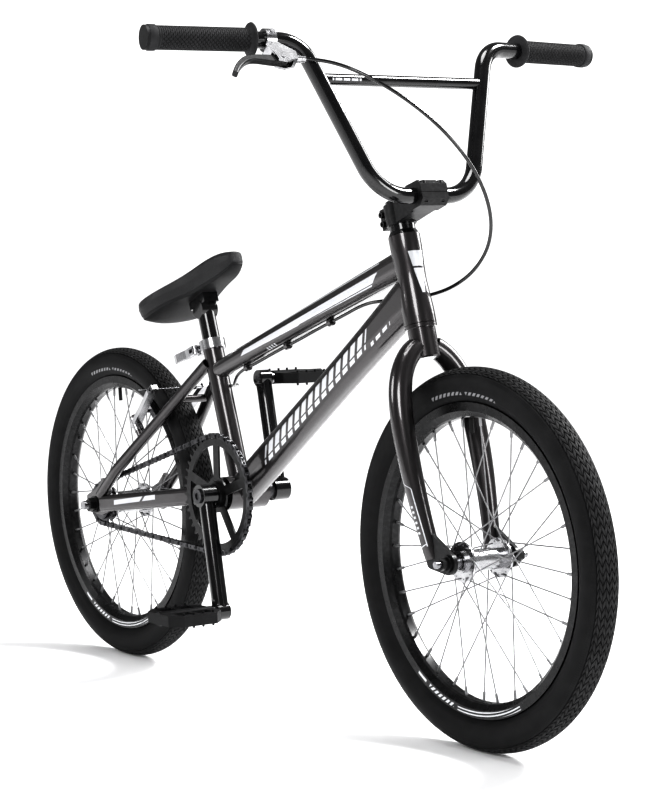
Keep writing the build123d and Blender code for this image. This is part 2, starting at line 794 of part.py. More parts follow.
arms = []
pads = []
for hand in (-1, 1):
    with BuildPart() as arm:
        outline = [(158, 41), (160, 33), (172, 32), (210, 38), (249, 40), (262, 42), (262, 53), (249, 55),
                   (205, 50), (172, 48), (160, 47)]
        plate(brake_plane.offset(arm_low), [(x, hand * y) for x, y in outline], arm_thickness)
        rod(stay(boss_along, 22, hand * boss_left), stay(boss_along, 46, hand * boss_left), 8.0)
        rod(stay(boss_along, 21, hand * boss_left), stay(boss_along, 47, hand * boss_left), 4.0 + fit, Mode.SUBTRACT)
        rod(stay(wire_along, wire_away, hand * 30), stay(wire_along, wire_away, hand * 60), 3.2, Mode.SUBTRACT)
    arms.append(arm)
    lean = asin(wire_away / pad_radius_from_axle)
    pad_turn = radians(stay_angle) + lean
    radial = unit(cos(pad_turn), 0, sin(pad_turn))
    tangent = unit(-sin(pad_turn), 0, cos(pad_turn))
    pad_centre = rear_axle_centre + radial * pad_radius_from_axle
    with BuildPart() as pad:
        face = pad_centre + side * (hand * (rim_half + pad_gap))
        with BuildSketch(Plane(origin=face, x_dir=tangent, z_dir=side * hand)):
            RectangleRounded(54, 10, 3)
        extrude(amount=9.5)
        rod(face + side * (hand * 9), face + side * (hand * 18), 3.0)
        add(arm.part, mode=Mode.SUBTRACT)
    pads.append(pad)

noodle_left = 60.0
noodle_bend = 18.0
noodle_start = stay(wire_along, wire_away, 31)
noodle_corner = stay(wire_along, wire_away, noodle_left + noodle_bend)
noodle_end = noodle_corner + Vector(noodle_bend + 10, 0, 0)
with BuildPart() as noodle:
    with BuildLine() as path:
        FilletPolyline(noodle_start, noodle_corner, noodle_end, radius=noodle_bend)
    with BuildSketch(facing(path.line @ 0, path.line % 0)):
        Circle(2.9)
    sweep(path=path.line)

# ---------------------------------------------------------------- brake cable
def under_top_tube(along, drop):
    """A point below the top tube's underside, this far from the seat tube."""
    height = top_tube_ends[0] + (top_tube_ends[1] - top_tube_ends[0]) * along / top_tube_length
    return top_tube_rear + top_tube_run * along - top_tube_normal * (height / 2 + drop)


cable_drop = 4.0
cable_points = [
    by_lever(-42, cable_offset),
    by_lever(-80, cable_offset),
    Vector(364, -82, 879),
    Vector(397, -42, 843),
    Vector(415, -2, 803),
    Vector(418, 38, 757),
    Vector(411, 66, 707),
    Vector(397, 75, 664),
    Vector(370, 70, 629),
    Vector(338, 58, 607),
    Vector(306, 44, 596),
    Vector(276, 30, 592),
    Vector(247, 8, 589),
    under_top_tube(400, cable_drop),
    under_top_tube(342, cable_drop + 0.7),
    under_top_tube(284, cable_drop),
    under_top_tube(226, cable_drop + 0.7),
    under_top_tube(168, cable_drop),
    under_top_tube(110, cable_drop + 0.7),
    under_top_tube(56, cable_drop),
    Vector(-146, 11, 458),
    Vector(-166, 26, 452),
    Vector(-194, 40, 452),
    Vector(-216, 62, 452),
    noodle_end + Vector(24, 0, 0),
    noodle_end,
]


def cable_bends(points):
    """The largest arc that each corner of the route has room for, and a line of print for it."""
    radii = []
    for before, here, after in zip(points, points[1:], points[2:]):
        into = here - before
        out = after - here
        turn = into.get_angle(out)
        shorter = min(into.length, out.length)
        radii.append(0.45 * shorter / tan(radians(turn / 2)))
        print("cable corner: run", round(into.length), "turn", round(turn, 1), "radius", round(radii[-1], 1))
    return radii


with BuildPart() as cable_housing:
    with BuildLine() as cable_path:
        FilletPolyline(*cable_points, radius=cable_bends(cable_points))
    with BuildSketch(facing(cable_path.line @ 0, cable_path.line % 0)):
        Circle(cable_radius)
    sweep(path=cable_path.line)

housing_length = cable_path.wires()[0].length
print("cable length", round(housing_length, 1), "volume", round(cable_housing.part.volume), "section x length",
      round(housing_length * pi * cable_radius**2))

boot_end = 10.0
with BuildPart() as cable_boot:
    rod(stay(wire_along, wire_away, boot_end), stay(wire_along, wire_away, 30.9), 4.3)
with BuildPart() as inner_wire:
    rod(stay(wire_along, wire_away, boot_end - 0.1), stay(wire_along, wire_away, -74), 0.8)

cable_guides = []
for first in (14, 16, 18):
    spot = (cable_points[first] + cable_points[first + 1]) * 0.5
    run = (cable_points[first + 1] - cable_points[first]).normalized()
    with BuildPart() as guide:
        rod(spot - run * 4, spot + run * 4, 5.6)
        add(top_tube_block, mode=Mode.SUBTRACT)
        rod(spot - run * 5, spot + run * 5, cable_radius + 0.05, Mode.SUBTRACT)
    cable_guides.append(guide)

# ---------------------------------------------------------------- wheels
def wheel_plane(centre):
    """The plane of a wheel's section: x outwards from the axle, y along the axle."""
    return Plane(origin=centre, x_dir=(0, 0, 1), z_dir=(-1, 0, 0))


tyre_centre_radius = tyre_outer_radius - tyre_section_radius
tyre_wall = 3.3
bead_left = 10.8
rim_inner_radius = 187.2
valve_turn = 95.0


def make_tyre(centre):
    with BuildPart() as tyre:
        with BuildSketch(wheel_plane(centre)):
            with Locations((tyre_centre_radius, 0)):
                Circle(tyre_section_radius)
                Circle(tyre_section_radius - tyre_wall, mode=Mode.SUBTRACT)
            with Locations((tyre_centre_radius - 20, 0)):
                Rectangle(14, 2 * bead_left - 4, mode=Mode.SUBTRACT)
            with Locations((rim_bead_radius + 2.4, -bead_left), (rim_bead_radius + 2.4, bead_left)):
                Circle(2.2)
        revolve(axis=Axis(centre, side))
    return tyre


def valve_way(centre):
    turn = radians(valve_turn)
    return Vector(cos(turn), 0, sin(turn))


def make_tube(centre):
    with BuildPart() as tube:
        with BuildSketch(wheel_plane(centre)):
            with Locations((tyre_centre_radius, 0)):
                Circle(tyre_section_radius - tyre_wall - 0.6)
                Circle(tyre_section_radius - tyre_wall - 1.8, mode=Mode.SUBTRACT)
        revolve(axis=Axis(centre, side))
        way = valve_way(centre)
        rod(centre + way * 166, centre + way * (rim_bead_radius + 5.6), 3.0)
    return tube


def make_rim(centre):
    with BuildPart() as rim:
        with BuildSketch(wheel_plane(centre)):
            with BuildLine():
                Polyline(
                    (207.3, rim_half), (207.3, rim_half - 2.2), (rim_bead_radius, rim_half - 2.2),
                    (rim_bead_radius, 2.2 - rim_half), (207.3, 2.2 - rim_half), (207.3, -rim_half),
                    (196, -rim_half), (188.6, -9), (rim_inner_radius, -5.5), (rim_inner_radius, 5.5),
                    (188.6, 9), (196, rim_half), close=True,
                )
            make_face()
            with BuildLine():
                Polyline((201.2, 12.6), (201.2, -12.6), (197, -13.4), (190.4, -7.2), (190.4, 7.2), (197, 13.4),
                         close=True)
            make_face(mode=Mode.SUBTRACT)
        revolve(axis=Axis(centre, side))
        way = valve_way(centre)
        rod(centre + way * 180, centre + way * 210, 3.3, Mode.SUBTRACT)
    return rim


def make_hub(centre, flange_left, flange_radius, shell, bore, bearing_ring, boss):
    """Flanged hub shell bored for its two bearings, which come with it."""
    end = flange_left + 6
    with BuildPart() as hub:
        rod(centre - side * end, centre + side * end, shell)
        for hand in (-1, 1):
            rod(centre + side * (hand * (flange_left - 1.6)), centre + side * (hand * (flange_left + 1.6)),
                flange_radius)
        if boss:
            rod(centre - side * (end + 12), centre - side * (end - 1), boss)
        rod(centre - side * 60, centre + side * 60, bore - 2.5, Mode.SUBTRACT)
        for hand in (-1, 1):
            rod(centre + side * (hand * (end - 9)), centre + side * (hand * 60), bore, Mode.SUBTRACT)
    pieces = [hub]
    for hand in (-1, 1):
        ring_face = centre + side * (hand * (end - 8.6))
        pieces += bearing(ring_face, side * hand, bearing_ring + fit, bore - 0.02, 8, 9)
    return pieces


def make_spokes(centre, flange_left, hole_radius):
    """Crossed spokes with their elbows and nipples, every other one to the other flange."""
    spokes = []
    for number in range(spokes_per_wheel):
        hand = -1 if number % 2 == 0 else 1
        leading = 1 if (number // 2) % 2 == 0 else -1
        rim_turn = 2 * pi * number / spokes_per_wheel
        hub_turn = rim_turn + leading * radians(60)
        hub_left = hand * (flange_left + leading * 2.6)
        hub_end = centre + Vector(cos(hub_turn) * hole_radius, hub_left, sin(hub_turn) * hole_radius)
        rim_end = centre + Vector(cos(rim_turn) * 187.0, hand * 1.6, sin(rim_turn) * 187.0)
        way = (rim_end - hub_end).normalized()
        with BuildPart() as spoke:
            rod(hub_end, rim_end - way, 0.95)
            rod(hub_end + side * (hand * leading * 1.1), hub_end - side * (hand * leading * 4.6), 1.0)
            rod(rim_end - way * 12, rim_end, 2.0)
        spokes.append(spoke)
    return spokes


front_flange = 31.0
rear_flange = 32.0
front_tyre = make_tyre(front_axle_centre)
rear_tyre = make_tyre(rear_axle_centre)
front_tube = make_tube(front_axle_centre)
rear_tube = make_tube(rear_axle_centre)
front_rim = make_rim(front_axle_centre)
rear_rim = make_rim(rear_axle_centre)
front_hub = make_hub(front_axle_centre, front_flange, 26.5, 14.5, 12.0, front_axle_radius, 0)
rear_hub = make_hub(rear_axle_centre, rear_flange, 27.5, 17.5, 14.0, rear_axle_radius, 16.5)
front_spokes = make_spokes(front_axle_centre, front_flange, 22.5)
rear_spokes = make_spokes(rear_axle_centre, rear_flange, 23.5)


def make_axle(centre, radius, nut_end, free_end, locks):
    """Axle with a groove outside each nut, and the lock nut inside each dropout."""
    with BuildPart() as axle:
        rod(centre - side * (nut_end + 0.4), centre + side * (nut_end + 0.4), radius)
        rod(centre - side * free_end, centre + side * free_end, radius - 0.4)
        for hand in (-1, 1):
            rod(centre + side * (hand * (nut_end + 1)), centre + side * (hand * free_end), radius)
        for inner, outer, lock_radius in locks:
            rod(centre + side * inner, centre + side * outer, lock_radius)
    return axle


front_nut_end = front_hub_gap / 2 + fork_plate_thickness + 12
rear_nut_end = rear_hub_gap / 2 + dropout_thickness + 13
front_free = 76.0
rear_free = 84.0
front_lock = 8.5
rear_lock = 12.0
front_locks = [
    (front_flange + 6.6, front_hub_gap / 2, front_lock),
    (-front_flange - 6.6, -front_hub_gap / 2, front_lock),
]
rear_locks = [
    (rear_flange + 6.6, rear_hub_gap / 2, rear_lock),
    (-rear_flange - 19.2, -rear_hub_gap / 2, rear_lock),
]
front_axle = make_axle(front_axle_centre, front_axle_radius, front_nut_end, front_free, front_locks)
rear_axle = make_axle(rear_axle_centre, rear_axle_radius, rear_nut_end, rear_free, rear_locks)


def axle_nuts(centre, radius, face, washer, flats, height):
    """A flanged dome nut on each end of an axle."""
    nuts = []
    for hand in (-1, 1):
        seat_face = centre + side * (hand * (face + 0.05))
        with BuildPart() as nut:
            rod(seat_face, seat_face + side * (hand * 3), washer)
            with BuildSketch(facing(seat_face + side * (hand * 3), side * hand)):
                RegularPolygon(flats / 2, 6, major_radius=False)
            extrude(amount=height - 3)
            rod(seat_face, seat_face + side * (hand * height), radius + 0.03, Mode.SUBTRACT)
            chamfer(nut.edges().filter_by(GeomType.CIRCLE).sort_by(Axis(centre, side * hand))[-1:], length=0.6)
        nuts.append(nut)
    return nuts


front_nuts = axle_nuts(front_axle_centre, front_axle_radius, front_hub_gap / 2 + fork_plate_thickness, 11.5, 15, 12)
rear_nuts = axle_nuts(rear_axle_centre, rear_axle_radius, rear_hub_gap / 2 + dropout_thickness, 13.5, 19, 13)

# ---------------------------------------------------------------- drivetrain
chain_lean = asin((ring_pitch_radius - cog_pitch_radius) / centre_distance)
chain_slope = atan2(rise, bracket.X - rear_axle_centre.X)
ring_top_turn = pi / 2 + chain_slope + chain_lean - pi + pi
ring_links = (pi + 2 * chain_lean) * chainring_teeth / (2 * pi)
cog_links = (pi - 2 * chain_lean) * cog_teeth / (2 * pi)
run_links = centre_distance * cos(chain_lean) / chain_pitch


def around(centre, radius, turn):
    return Vector(centre.X + radius * cos(turn), -chain_line, centre.Z + radius * sin(turn))


def chain_spot(link):
    """The place of a chain roller, counted in links from where the chain meets the chainring's top."""
    low_turn = ring_top_turn - (pi + 2 * chain_lean)
    if link <= ring_links:
        return around(bracket, ring_pitch_radius, ring_top_turn - link * 2 * pi / chainring_teeth)
    if link <= ring_links + run_links:
        start = around(bracket, ring_pitch_radius, low_turn)
        end = around(rear_axle_centre, cog_pitch_radius, low_turn)
        return start + (end - start) * ((link - ring_links) / run_links)
    if link <= ring_links + run_links + cog_links:
        turned = (link - ring_links - run_links) * 2 * pi / cog_teeth
        return around(rear_axle_centre, cog_pitch_radius, low_turn - turned)
    start = around(rear_axle_centre, cog_pitch_radius, ring_top_turn)
    end = around(bracket, ring_pitch_radius, ring_top_turn)
    return start + (end - start) * ((link - ring_links - run_links - cog_links) / run_links)


def chain_loop(offset):
    """The outline at this distance outside the chain's pitch line."""
    with BuildSketch() as loop:
        with Locations((bracket.X, bracket.Z)):
            Circle(ring_pitch_radius + offset)
        with Locations((rear_axle_centre.X, rear_axle_centre.Z)):
            Circle(cog_pitch_radius + offset)
        make_hull()
    return loop.sketch


side_plate_gap = 1.75
side_plate_outer = 3.75
with BuildPart() as chain:
    for hand in (-1, 1):
        with BuildSketch(upright(-chain_line + hand * side_plate_gap)):
            add(chain_loop(4.0))
            add(chain_loop(-4.0), mode=Mode.SUBTRACT)
        extrude(amount=-hand * (side_plate_outer - side_plate_gap))
    for link in range(chain_links):
        spot = chain_spot(link)
        rod(spot - side * 1.8, spot + side * 1.8, roller_radius)
        rod(spot - side * 4.6, spot - side * 3.7, 1.8)
        rod(spot + side * 3.7, spot + side * 4.6, 1.8)


def toothed_disc(centre, plane, pitch_radius, teeth, first_tooth, thickness):
    """A flat sprocket blank with a tooth between each pair of chain rollers."""
    with BuildSketch(plane) as blank:
        with Locations((centre.X, centre.Z)):
            Circle(pitch_radius - 4.2)
            with PolarLocations(pitch_radius, teeth, start_angle=degrees(first_tooth)):
                Polygon((-5.2, -3.2), (3.2, -1.2), (3.2, 1.2), (-5.2, 3.2), align=None)
    extrude(blank.sketch, amount=thickness)


ring_thickness = 3.0
ring_front = -chain_line + ring_thickness / 2
arm_inner_face = 52.0
with BuildSketch() as windows:
    Circle(74)
    Circle(27, mode=Mode.SUBTRACT)
    with PolarLocations(50, 5, start_angle=18):
        Rectangle(60, 15, mode=Mode.SUBTRACT)

with BuildPart() as chainring:
    first = ring_top_turn - pi / chainring_teeth
    toothed_disc(bracket, upright(ring_front), ring_pitch_radius, chainring_teeth, first, ring_thickness)
    with BuildSketch(upright(ring_front + 1)):
        with Locations((bracket.X, bracket.Z)):
            add(windows.sketch)
    extrude(amount=ring_thickness + 2, mode=Mode.SUBTRACT)
    rod(bracket - side * (arm_inner_face - 0.1), bracket - side * 41, 20)
    rod(bracket - side * 60, bracket - side * 30, spindle_radius + 0.03, Mode.SUBTRACT)

with BuildPart() as rear_cog:
    low_turn = ring_top_turn - (pi + 2 * chain_lean)
    whole_link = int(ring_links + run_links) + 1
    ahead_of_tangent = (whole_link - ring_links - run_links) * 2 * pi / cog_teeth
    first = low_turn - ahead_of_tangent + pi / cog_teeth
    toothed_disc(rear_axle_centre, upright(ring_front), cog_pitch_radius, cog_teeth, first, ring_thickness)
    rod(rear_axle_centre - side * 39.5, rear_axle_centre - side * 51, 25)
    rod(rear_axle_centre - side * 30, rear_axle_centre - side * 60, 16.5 + fit, Mode.SUBTRACT)

with BuildPart() as spindle:
    rod(bracket - side * 77, bracket + side * 77, spindle_radius)

crank_pieces = [spindle]
spacer_ends = ((-41 + 0.1, -shell_half - 0.1), (shell_half + 0.1, arm_inner_face - 0.1))
for low, high in spacer_ends:
    with BuildPart() as crank_spacer:
        rod(bracket + side * low, bracket + side * high, 12.5)
        rod(bracket + side * low, bracket + side * high, spindle_radius + 0.03, Mode.SUBTRACT)
    crank_pieces.append(crank_spacer)
for hand in (-1, 1):
    crank_pieces.append(cap_screw(bracket + side * (hand * 78.1), side * hand, 0.1, 0.2, 11, 3))

arm_boss_width = 26.0
pedal_left = 76.0
crank_way = unit(sin(radians(crank_angle)), 0, -cos(radians(crank_angle)))
crank_arms = []
pedal_axles = []
pedals = []
for hand, way in ((-1, crank_way), (1, -crank_way)):
    boss_centre = bracket + side * (hand * (arm_inner_face + arm_boss_width / 2))
    pedal_centre = bracket + way * crank_length + side * (hand * pedal_left)
    with BuildPart() as crank_arm:
        rod(boss_centre - side * (arm_boss_width / 2), boss_centre + side * (arm_boss_width / 2), 17.0)
        rod(boss_centre, pedal_centre, 12.2)
        rod(pedal_centre - side * 10, pedal_centre + side * 10, 13.0)
        rod(boss_centre - side * 40, boss_centre + side * 40, spindle_radius + 0.02, Mode.SUBTRACT)
        rod(pedal_centre - side * 20, pedal_centre + side * 20, 7.02, Mode.SUBTRACT)
        rod(boss_centre + side * (arm_boss_width / 2), boss_centre + side * 60, 30, Mode.SUBTRACT)
        rod(boss_centre - side * (arm_boss_width / 2), boss_centre - side * 60, 17.5, Mode.SUBTRACT)
        rod(pedal_centre + side * 10, pedal_centre + side * 20, 18, Mode.SUBTRACT)
        rod(pedal_centre - side * 10, pedal_centre - side * 20, 18, Mode.SUBTRACT)
    crank_arms.append(crank_arm)
    with BuildPart() as pedal_axle:
        rod(pedal_centre - side * (hand * 10), pedal_centre + side * (hand * 10.1), 7.0)
        rod(pedal_centre + side * (hand * 10.1), pedal_centre + side * (hand * 17), 8.5)
        rod(pedal_centre + side * (hand * 17), pedal_centre + side * (hand * 100), 4.5)
    pedal_axles.append(pedal_axle)
    pedal_inner = pedal_left + 18.0
    pedal_middle = Vector(pedal_centre.X, hand * (pedal_inner + 45), pedal_centre.Z)
    with BuildPart() as pedal:
        with BuildSketch(Plane.XY.offset(pedal_middle.Z - 8)):
            with Locations((pedal_middle.X, pedal_middle.Y)):
                Rectangle(92, 90)
        extrude(amount=16)
        chamfer(pedal.edges().filter_by(Axis.Z), length=17)
        with BuildSketch(Plane.XY.offset(pedal_middle.Z - 9)):
            for ahead in (-1, 1):
                with Locations((pedal_middle.X + ahead * 24, pedal_middle.Y - 16),
                               (pedal_middle.X + ahead * 24, pedal_middle.Y + 16)):
                    Rectangle(20, 26)
        extrude(amount=18, mode=Mode.SUBTRACT)
        barrel_in = Vector(pedal_middle.X, hand * pedal_inner, pedal_middle.Z)
        barrel_out = Vector(pedal_middle.X, hand * (pedal_inner + 90), pedal_middle.Z)
        rod(barrel_in, barrel_out, 10.0)
        for ahead in (-39, 39):
            for left in (-25, -8, 8, 25):
                spot = pedal_middle + Vector(ahead, left, 0)
                rod(spot - Vector(0, 0, 11.5), spot + Vector(0, 0, 11.5), 1.7)
        rod(barrel_in, barrel_in + side * (hand * 84), 4.5 + fit, Mode.SUBTRACT)
    pedals.append(pedal)

# ---------------------------------------------------------------- files, one for each sub-part
single_pieces = {
    "head_tube": head_tube,
    "top_tube": top_tube,
    "down_tube": down_tube,
    "seat_tube": seat_tube,
    "bottom_bracket_shell": bottom_bracket_shell,
    "chain_stay_right": chain_stay_right,
    "chain_stay_left": chain_stay_left,
    "seat_stay_right": seat_stay_right,
    "seat_stay_left": seat_stay_left,
    "stay_bridges": stay_bridges,
    "chain": chain,
    "rear_axle": rear_axle,
    "fork_steerer": fork_steerer,
    "fork_leg_right": fork_legs[0],
    "fork_leg_left": fork_legs[1],
    "stem_body": stem_body,
    "stem_cap": stem_cap,
    "handlebar": handlebar,
    "crossbar": crossbar,
    "grip_right": grips[0],
    "grip_left": grips[1],
    "front_axle": front_axle,
    "front_tyre": front_tyre,
    "front_inner_tube": front_tube,
    "front_rim": front_rim,
    "rear_tyre": rear_tyre,
    "rear_inner_tube": rear_tube,
    "rear_rim": rear_rim,
    "rear_cog": rear_cog,
    "crank_arm_right": crank_arms[0],
    "crank_arm_left": crank_arms[1],
    "chainring": chainring,
    "pedal_right": pedals[0],
    "pedal_left": pedals[1],
    "brake_lever": brake_lever,
    "seat_post": seat_post,
    "saddle": saddle,
    "qr_lever": qr_lever,
}
grouped_pieces = {
    "rear_dropouts": dropouts,
    "brake_bosses": brake_bosses,
    "seat_clamp": [collar, skewer],
    "headset_bearings": headset_bearings,
    "bottom_bracket_bearings": bracket_bearings,
    "cable_guides": cable_guides,
    "brake_cable": [cable_housing, cable_boot, inner_wire],
    "rear_axle_nuts": rear_nuts,
    "fork_dropouts": fork_plates,
    "headset_spacers": spacers,
    "stem_bolts": stem_bolts,
    "bar_end_plugs": plugs,
    "lever_bracket": [lever_body, lever_hinge, adjuster, clamp_screw],
    "front_axle_nuts": front_nuts,
    "front_hub": front_hub,
    "rear_hub": rear_hub,
    "front_spokes": front_spokes,
    "rear_spokes": rear_spokes,
    "crank_spindle": crank_pieces,
    "pedal_axles": pedal_axles,
    "brake_arm_right": [arms[0], pads[0]],
    "brake_arm_left": [arms[1], pads[1], noodle],
}
for name, piece in single_pieces.items():
    keep(piece.part, name)
for name, pieces in grouped_pieces.items():
    group(pieces, name)

print("chain stay length", round(centre_distance, 2), "bottom bracket x", round(bracket.X, 2))
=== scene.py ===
import bpy
import bmesh
from math import asin, atan2, cos, degrees, pi, radians, sin, tan
from mathutils import Matrix, Vector


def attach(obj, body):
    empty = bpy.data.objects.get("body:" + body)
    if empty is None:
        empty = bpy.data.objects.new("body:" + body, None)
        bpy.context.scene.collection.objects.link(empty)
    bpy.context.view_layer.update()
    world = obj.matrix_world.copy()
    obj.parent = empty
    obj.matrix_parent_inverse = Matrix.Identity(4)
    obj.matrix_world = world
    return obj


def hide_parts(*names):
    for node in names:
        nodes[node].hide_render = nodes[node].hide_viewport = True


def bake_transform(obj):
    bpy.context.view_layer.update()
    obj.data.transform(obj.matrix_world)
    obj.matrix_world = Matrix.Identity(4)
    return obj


# A 20 inch freestyle bicycle. Metres. X forwards, Y to the rider's left, Z up.

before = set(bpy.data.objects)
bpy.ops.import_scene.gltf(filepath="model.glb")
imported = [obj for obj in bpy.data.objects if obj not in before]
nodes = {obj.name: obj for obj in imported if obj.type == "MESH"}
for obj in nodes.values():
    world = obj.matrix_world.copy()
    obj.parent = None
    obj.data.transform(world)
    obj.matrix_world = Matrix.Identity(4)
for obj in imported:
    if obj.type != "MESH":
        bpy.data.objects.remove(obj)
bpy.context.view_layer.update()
scene = bpy.context.scene
print("frame loaded")

side = Vector((0, 1, 0))
frontAxle = Vector((0.46, 0, 0.253))
rearAxle = Vector((-0.46, 0, 0.253))
bracket = Vector((-0.11162, 0, 0.296))


# Shader maths.
# A shader socket that takes part in ordinary expressions.
class Signal:

    def __init__(self, tree, socket):
        self.tree = tree
        self.socket = socket

    def math(self, operation, *values):
        return addNode(self.tree, "ShaderNodeMath", {"operation": operation}, dict(enumerate(values)))

    def vector(self, operation, *values, output=0):
        return addNode(self.tree, "ShaderNodeVectorMath", {"operation": operation}, dict(enumerate(values)), output)

    def __add__(self, other):
        return self.math("ADD", self, other)

    def __radd__(self, other):
        return self.math("ADD", other, self)

    def __sub__(self, other):
        return self.math("SUBTRACT", self, other)

    def __rsub__(self, other):
        return self.math("SUBTRACT", other, self)

    def __mul__(self, other):
        return self.math("MULTIPLY", self, other)

    def __rmul__(self, other):
        return self.math("MULTIPLY", other, self)

    def __truediv__(self, other):
        return self.math("DIVIDE", self, other)

    def __mod__(self, other):
        return self.math("FLOORED_MODULO", self, other)

    def __abs__(self):
        return self.math("ABSOLUTE", self)

    def __gt__(self, other):
        return self.math("GREATER_THAN", self, other)

    def __lt__(self, other):
        return self.math("LESS_THAN", self, other)

    def smaller(self, other):
        return self.math("MINIMUM", self, other)

    def larger(self, other):
        return self.math("MAXIMUM", self, other)

    # 0 below start, 1 above start + width, smooth between.
    def rise(self, start, width):
        settings = {"interpolation_type": "SMOOTHSTEP"}
        return addNode(self.tree, "ShaderNodeMapRange", settings, {0: self, 1: start, 2: start + width})

    def band(self, low, high, soft):
        return self.rise(low, soft) * (1 - self.rise(high - soft, soft))

    # The colour low where this is 0 and high where it is 1.
    def mix(self, low, high):
        inputs = {0: self, 6: asColour(low), 7: asColour(high)}
        return addNode(self.tree, "ShaderNodeMix", {"data_type": "RGBA"}, inputs, 2)


def asColour(value):
    return value if isinstance(value, Signal) else (*value, 1.0)


def addNode(tree, kind, settings=None, inputs=None, output=0):
    made = tree.nodes.new(kind)
    for name, value in (settings or {}).items():
        setattr(made, name, value)
    for name, value in (inputs or {}).items():
        if isinstance(value, Signal):
            tree.links.new(value.socket, made.inputs[name])
        else:
            made.inputs[name].default_value = value
    return Signal(tree, made.outputs[output])


# A material being put together: its coordinates, its noise and its shader's inputs.
class Finish:

    def __init__(self, name, **constants):
        self.material = bpy.data.materials.new(name)
        self.material.use_nodes = True
        self.tree = self.material.node_tree
        self.shader = self.tree.nodes["Principled BSDF"]
        self.place = addNode(self.tree, "ShaderNodeTexCoord", output="Object")
        for socket, value in constants.items():
            self.set(socket.replace("_", " "), value)

    def set(self, socket, value):
        target = self.shader.inputs[socket]
        if isinstance(value, Signal):
            self.tree.links.new(value.socket, target)
        elif isinstance(value, tuple):
            target.default_value = (*value, 1.0)
        else:
            target.default_value = value

    def axis(self, name):
        return addNode(self.tree, "ShaderNodeSeparateXYZ", None, {0: self.place}, "XYZ".index(name))

    # Distance from the origin in this direction.
    def along(self, origin, direction):
        away = self.place.vector("SUBTRACT", self.place, tuple(origin))
        return self.place.vector("DOT_PRODUCT", away, tuple(direction), output="Value")

    def noise(self, scale, detail=4.0, rough=0.55, place=None):
        inputs = {"Vector": place or self.place, "Scale": scale, "Detail": detail, "Roughness": rough}
        return addNode(self.tree, "ShaderNodeTexNoise", None, inputs)

    def cells(self, scale, feature="F1", place=None):
        inputs = {"Vector": place or self.place, "Scale": scale}
        return addNode(self.tree, "ShaderNodeTexVoronoi", {"feature": feature}, inputs, "Distance")

    def relief(self, height, depth, strength=1.0):
        inputs = {"Height": height, "Distance": depth, "Strength": strength}
        self.set("Normal", addNode(self.tree, "ShaderNodeBump", None, inputs, "Normal"))

    # Radius from a wheel's axle, and angle round it in degrees from forwards, upwards positive.
    def polar(self, centre):
        ahead = self.along(centre, (1, 0, 0))
        above = self.along(centre, (0, 0, 1))
        square = ahead * ahead + above * above
        radius = square.math("SQRT", square)
        angle = above.math("ARCTAN2", above, ahead) * degrees(1)
        return radius, angle


# Materials.
graphite = {"base": (0.07, 0.065, 0.067), "deep": (0.036, 0.034, 0.035), "silver": (0.72, 0.73, 0.75)}


# Metallic paint under a clear coat, with this function's decal over it.
def graphitePaint(name, decal=None):
    finish = Finish(name, Roughness=0.3, Metallic=0.82, Coat_Weight=1.0, Coat_Roughness=0.035, Coat_IOR=1.5)
    flakes = finish.noise(2600, 2.0)
    clouds = finish.noise(9, 3.0)
    colour = flakes.rise(0.35, 0.3).mix(graphite["deep"], graphite["base"])
    rough = 0.27 + 0.06 * clouds
    if decal:
        mask = decal(finish)
        ink = clouds.rise(0.3, 0.4).mix(graphite["silver"], (0.62, 0.63, 0.66))
        colour = mask.mix(colour, ink)
        rough = rough + 0.1 * mask
        finish.set("Metallic", 0.82 - 0.5 * mask)
    finish.set("Base Color", colour)
    finish.set("Roughness", rough)
    finish.relief(finish.noise(420, 3.0), 0.00004, 0.25)
    return finish.material


def glossBlack(name, decal=None):
    finish = Finish(name, Base_Color=(0.012, 0.012, 0.013), Roughness=0.16, Coat_Weight=0.6, Coat_Roughness=0.04)
    dust = finish.noise(30, 5.0)
    colour = dust.rise(0.35, 0.4).mix((0.004, 0.004, 0.0045), (0.009, 0.009, 0.0095))
    if decal:
        mask = decal(finish)
        colour = mask.mix(colour, graphite["silver"])
    finish.set("Base Color", colour)
    finish.set("Roughness", 0.12 + 0.09 * dust)
    finish.relief(finish.noise(500, 2.0), 0.00003, 0.2)
    return finish.material


def satinBlack(name, rough=0.34, decal=None):
    finish = Finish(name, Metallic=0.55, Coat_Weight=0.15, Coat_Roughness=0.2)
    wear = finish.noise(160, 6.0)
    colour = wear.rise(0.4, 0.35).mix((0.012, 0.012, 0.0125), (0.026, 0.026, 0.027))
    if decal:
        mask = decal(finish)
        colour = mask.mix(colour, graphite["silver"])
        finish.set("Metallic", 0.55 - 0.45 * mask)
    finish.set("Base Color", colour)
    finish.set("Roughness", rough + 0.12 * finish.noise(60, 4.0))
    finish.relief(finish.noise(1500, 2.0), 0.00005, 0.3)
    return finish.material


def bareMetal(name, bright, dark, rough, grain=(1, 1, 1), grainScale=400):
    finish = Finish(name, Metallic=1.0)
    stretched = finish.place.vector("MULTIPLY", finish.place, grain)
    brushed = finish.noise(grainScale, 4.0, place=stretched)
    stains = finish.noise(55, 5.0)
    finish.set("Base Color", stains.rise(0.35, 0.4).mix(dark, bright))
    finish.set("Roughness", rough + 0.1 * brushed)
    finish.relief(finish.noise(1500, 3.0), 0.00002, 0.12)
    return finish.material


def rubber(name, colour, rough=0.62, pattern=None):
    finish = Finish(name, Specular_IOR_Level=0.22)
    bloom = finish.noise(45, 6.0)
    shade = bloom.rise(0.3, 0.5).mix(colour, tuple(c * 1.7 for c in colour))
    height = finish.noise(900, 3.0) * 0.35
    if pattern:
        raised = pattern(finish)
        height = height + raised * 2
        # Where a pattern is given, its grooves get a darker copy of the colour: painted shade in the recesses, on top
        # of the real relief from the bump.
        shade = raised.mix(tuple(c * 0.35 for c in colour), shade)
    finish.set("Base Color", shade)
    finish.set("Roughness", rough + 0.16 * bloom)
    finish.relief(height, 0.0002, 0.5)
    return finish.material


